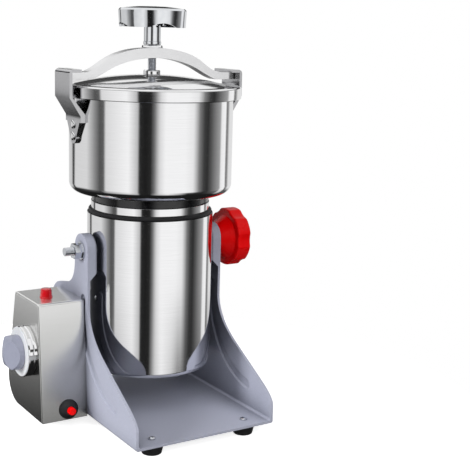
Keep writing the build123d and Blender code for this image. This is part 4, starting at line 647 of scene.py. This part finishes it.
# Stoved enamel on cast aluminium: black and glossy, with a slight ripple from the casting.
enamel, tree, shader = surface("black_stove_enamel", "#101013", 0.2, Coat_Weight=0.3)
vary(tree, shader, grain(tree, (5, 5, 5)), rough=(0.16, 0.28), tones=("#0D0D0F", "#16161A"), relief=0.03)
dress(enamel, "upper_shield")
m4_cheese = {"head_height": 0.0024, "head_radius": 0.0034, "shank_radius": 0.002, "recess": 0.0038}
fasteners("neck_screws", 2, -1, "neck_screw_set", zinc, "head", "zinc_steel", **m4_cheese)

# ---- motor, fixed parts --------------------------------------------------------------------------
# A universal motor inside the can: a cast lower shield, a stack of stamped sheets with two wound poles,
# brass holders with carbon brushes, and the outer rings of two ball bearings.
# As-cast aluminium: dull silver, with the sandy skin of the mould.
cast, tree, shader = surface("cast_aluminium", "#A9AAAB", 0.5, 1.0)
vary(tree, shader, grain(tree, (0.9, 0.9, 0.9), 3.0), rough=(0.42, 0.6),
     tones=("#9D9E9F", "#B4B5B6"), relief=0.08)
dress(cast, "lower_shield")
# Stamped silicon steel, stacked: dark grey, with a line at each 0.5 mm sheet.
stacked, tree, shader = surface("stacked_silicon_steel", "#6B6C70", 0.42, 1.0)
vary(tree, shader, grain(tree, (200, 200, 0.5), 0.0), rough=(0.35, 0.5),
     tones=("#56575B", "#7C7D81"), relief=0.04)
dress(stacked, "stator_core", "armature_core")
# Enamelled copper wire, wound: reddish and shiny, with the ridges of 1 mm wire.
copper, tree, shader = surface("enamelled_copper_wire", "#B2673A", 0.28, 1.0)
vary(tree, shader, grain(tree, (1.2, 20, 1.2), 0.0), rough=(0.22, 0.36),
     tones=("#8E4A26", "#C67B4A"), relief=0.2)
dress(copper, "field_coils", "armature_windings")
# Machined brass: yellow, with fine tool lines and a slight tarnish.
brass, tree, shader = surface("machined_brass", "#C9A25B", 0.28, 1.0)
vary(tree, shader, grain(tree, (20, 20, 0.4)), rough=(0.2, 0.38),
     tones=("#B68F4B", "#D3AE69"), relief=0.003)
dress(brass, "brush_holders", "commutator")
# Pressed carbon: near black, dusty and porous.
carbon, tree, shader = surface("pressed_carbon", "#232324", 0.7)
vary(tree, shader, grain(tree, (0.4, 0.4, 0.4), 4.0), rough=(0.6, 0.85),
     tones=("#1B1B1C", "#2D2D2E"), relief=0.03)
dress(carbon, "carbon_brushes")
# Ground bearing steel: bright and even.
bearing, tree, shader = surface("ground_bearing_steel", "#C8C9CB", 0.16, 1.0)
vary(tree, shader, grain(tree, (10, 10, 0.2)), rough=(0.1, 0.22), tones=("#C1C2C4", "#D0D1D3"))
dress(bearing, "bearing_outer_rings", "bearing_inner_rings")

# ---- rotor ---------------------------------------------------------------------------------------
# A stepped steel shaft carries the armature, the commutator and a moulded cooling fan. Its top goes up
# through the shaft seal into the bowl.
dress(turned_steel, "motor_shaft")
dress(black_nylon, "cooling_fan")

# ---- blades --------------------------------------------------------------------------------------
# Three flat two-ended blades of hard stainless on the shaft's threaded top, with a spacer between each and
# one nut over all. They are ground flat, so their lines run along them.
# Ground stainless: bright, with straight grinding lines.
ground, tree, shader = surface("ground_stainless", "#CFCFD0", 0.22, 1.0)
vary(tree, shader, grain(tree, (0.4, 0.4, 8)), rough=(0.16, 0.32),
     tones=("#C6C6C7", "#D8D8D9"), relief=0.003)
for node, name in (("lower_blade", "low_blade"), ("middle_blade", "mid_blade"), ("upper_blade", "top_blade"),
                   ("blade_nut", "top_nut")):
    softened(node, name, ground, "rotor", "satin_stainless", 0.3)
dress(ground, "blade_spacers")

# ---- grinding bowl -------------------------------------------------------------------------------
# Drawn from 1.5 mm stainless with a tight bottom corner, and mirror polished. A stout ring is welded round
# its mouth. Six screws hold its floor down on the casting, round a rubber shaft seal.
dress(polished, "bowl", "bowl_rim")
m5_pan = {"head_height": 0.0026, "head_radius": 0.00475, "shank_radius": 0.0025, "recess": 0.005}
fasteners("bowl_screws", 2, 1, "bowl_screw_set", zinc, "head", "zinc_steel", **m5_pan)
dress(rubber, "shaft_seal")

# ---- brackets ------------------------------------------------------------------------------------
# Two straps bent from 3.5 mm stainless. Each is riveted to the bowl by its rounded lower plate, slants
# out round the lid's skirt and ends in a hook. Two domed rivets hold each one.
# Satin stainless: pressed and tumbled, so it mirrors softly.
satin, tree, shader = surface("satin_stainless", "#BDBDBF", 0.15, 1.0)
vary(tree, shader, grain(tree, (0.5, 12, 12)), rough=(0.12, 0.18),
     tones=("#B8B8BA", "#C4C4C6"), relief=0.001)
softened("bracket_left", "left_strap", satin, "head", "satin_stainless", 0.8)
softened("bracket_right", "right_strap", satin, "head", "satin_stainless", 0.8)
domed_rivet = {"head_height": 0.0024, "head_radius": 0.005, "shank_radius": 0.0025, "recess": 0.0,
               "flatness": 0.6}
fasteners("bracket_rivets", 0, 0, "domed_rivets", polished, "head", "satin_stainless", **domed_rivet)

# ---- clamp bar -----------------------------------------------------------------------------------
# A cast stainless bar, arched over the lid, with flat ends that swing under the hooks. A flanged steel
# bush is pressed into its middle and threaded M10 for the spindle.
# Vapour blasted cast stainless: pale, even and soft, with the casting's gentle waviness.
blasted, tree, shader = surface("blasted_cast_stainless", "#EDEDEE", 0.22, 1.0)
vary(tree, shader, grain(tree, (4, 4, 4)), rough=(0.2, 0.26), tones=("#F0F0F1", "#F5F5F6"), relief=0.004)
# Faces that look down are painted dark grey. That is painted shade under the bar, not a real finish.
painted_underside_shade = put(tree, "ShaderNodeAttribute", attribute_name="underside").outputs["Fac"]
underside_shade_mix = put(tree, "ShaderNodeMix", {0: painted_underside_shade, 6: shader.inputs["Base Color"].links[0].from_socket,
                                       7: linear("#38393B")}, data_type="RGBA")
tree.links.new(underside_shade_mix.outputs[2], shader.inputs["Base Color"])
arched_bar = softened("clamp_bar", "arched_bar", blasted, "bar", "satin_stainless", 1.4)
arched_bar.data.attributes.new("underside", "FLOAT", "FACE")
facing_down = [float(face.normal.z < -0.6) for face in arched_bar.data.polygons]
arched_bar.data.attributes["underside"].data.foreach_set("value", facing_down)
softened("bar_bush", "flanged_bush", polished, "bar", "polished_stainless", 0.4)

# ---- lid -----------------------------------------------------------------------------------------
# A shallow dome spun from 1.5 mm stainless, with a skirt that comes down round the rim. A milky silicone
# gasket lies under it, and a turned boss on its crown carries the spindle's foot.
dome_low, dome_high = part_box("lid")
skirt_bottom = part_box("lid_skirt")[0][2]
lid_axis = middle_of("lid")
lid_radius = (dome_high[0] - dome_low[0]) / 2
lid_sheet = 0.0015
flat_width = 0.014
seat_radius = lid_radius - flat_width
crown_rise = 0.011
lid_seat = dome_high[2] - crown_rise
sphere_radius = (seat_radius**2 + crown_rise**2) / (2 * crown_rise)
hem = 0.001  # the radius of the skirt's lower edge
shoulder = 0.0022  # the radius of the fold from the flat to the skirt
fold_drop = 0.0003  # how far the flat slopes down to that fold


def arc(middle, radius, start, end, steps):
    """(radius, height) points on an arc, from a start to an end angle in degrees."""
    angles = [math.radians(start + (end - start) * i / steps) for i in range(steps + 1)]
    return [(middle[0] + radius * math.cos(a), middle[1] + radius * math.sin(a)) for a in angles]


def dome(top, steps=24):
    """(radius, height) points on the dome, from its crown out to the flat seat."""
    reach = [seat_radius * i / steps for i in range(steps + 1)]
    return [(r, top - sphere_radius + math.sqrt(sphere_radius**2 - r * r)) for r in reach]


outline = [(r, h) for r, h in dome(lid_seat + crown_rise)]
outline += [(seat_radius + 0.001, lid_seat - fold_drop)]
outline += arc((lid_radius - shoulder, lid_seat - shoulder - fold_drop), shoulder, 90, 0, 8)
outline += arc((lid_radius - hem, skirt_bottom + hem), hem, 0, -90, 6)
outline += [(lid_radius - lid_sheet, skirt_bottom), (lid_radius - lid_sheet, lid_seat - 0.0024)]
outline += [(seat_radius, lid_seat - lid_sheet)]
outline += dome(lid_seat + crown_rise - lid_sheet)[::-1]
spun_lid = lathe("spun_lid", outline, (lid_axis.x, lid_axis.y, 0.0), (0, 0, 1))
seat(spun_lid, polished, "lid", "polished_stainless", "lid", "lid_skirt")
softened("lid_boss", "crown_boss", polished, "lid", "polished_stainless", 0.4)
# Moulded silicone: milky, soft looking and a little see-through at its edge.
silicone, tree, shader = surface("milky_silicone", "#E4E3DE", 0.45, Subsurface_Weight=0.15)
vary(tree, shader, grain(tree, (1.5, 1.5, 1.5)), rough=(0.4, 0.52),
     tones=("#DFDED8", "#E9E8E4"), relief=0.01)
dress(silicone, "lid_gasket")

# ---- handwheel -----------------------------------------------------------------------------------
# A hollow zinc die casting with a waved rim and four ribs inside, chromed, on a bright turned stem. Under
# the stem runs the rolled M10 x 1.5 thread that presses the lid down.
# Decorative chrome over nickel: a cold, very clear mirror.
chrome, tree, shader = surface("bright_chrome_plate", "#E3E5E8", 0.05, 1.0)
vary(tree, shader, grain(tree, (6, 6, 6)), rough=(0.035, 0.08),
     tones=("#DFE1E5", "#E7E9EB"), relief=0.004)
softened("handwheel_cap", "waved_cap", chrome, "handwheel", "polished_stainless", 0.7)
spindle_low, spindle_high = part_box("clamp_spindle")
spindle_axis = middle_of("clamp_spindle")
stem_radius = (spindle_high[0] - spindle_low[0]) / 2
stem_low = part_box("bar_bush")[1][2] + 0.0003
stem_tall = spindle_high[2] - stem_low
stem = lathe("bright_stem", (
    (0.0, 0.0), (stem_radius - 0.001, 0.0), (stem_radius - 0.0003, 0.0003), (stem_radius, 0.001),
    (stem_radius, 0.0035), (stem_radius - 0.0006, 0.004), (stem_radius - 0.0006, stem_tall - 0.001),
    (0.0, stem_tall),
), (spindle_axis.x, spindle_axis.y, stem_low), (0, 0, 1))
seat(stem, chrome, "handwheel", "polished_stainless", "clamp_spindle")
threaded("clamping_thread", (spindle_axis.x, spindle_axis.y, spindle_low[2]),
         (spindle_axis.x, spindle_axis.y, stem_low + 0.0005), zinc, "handwheel", "polished_stainless",
         "clamp_spindle")
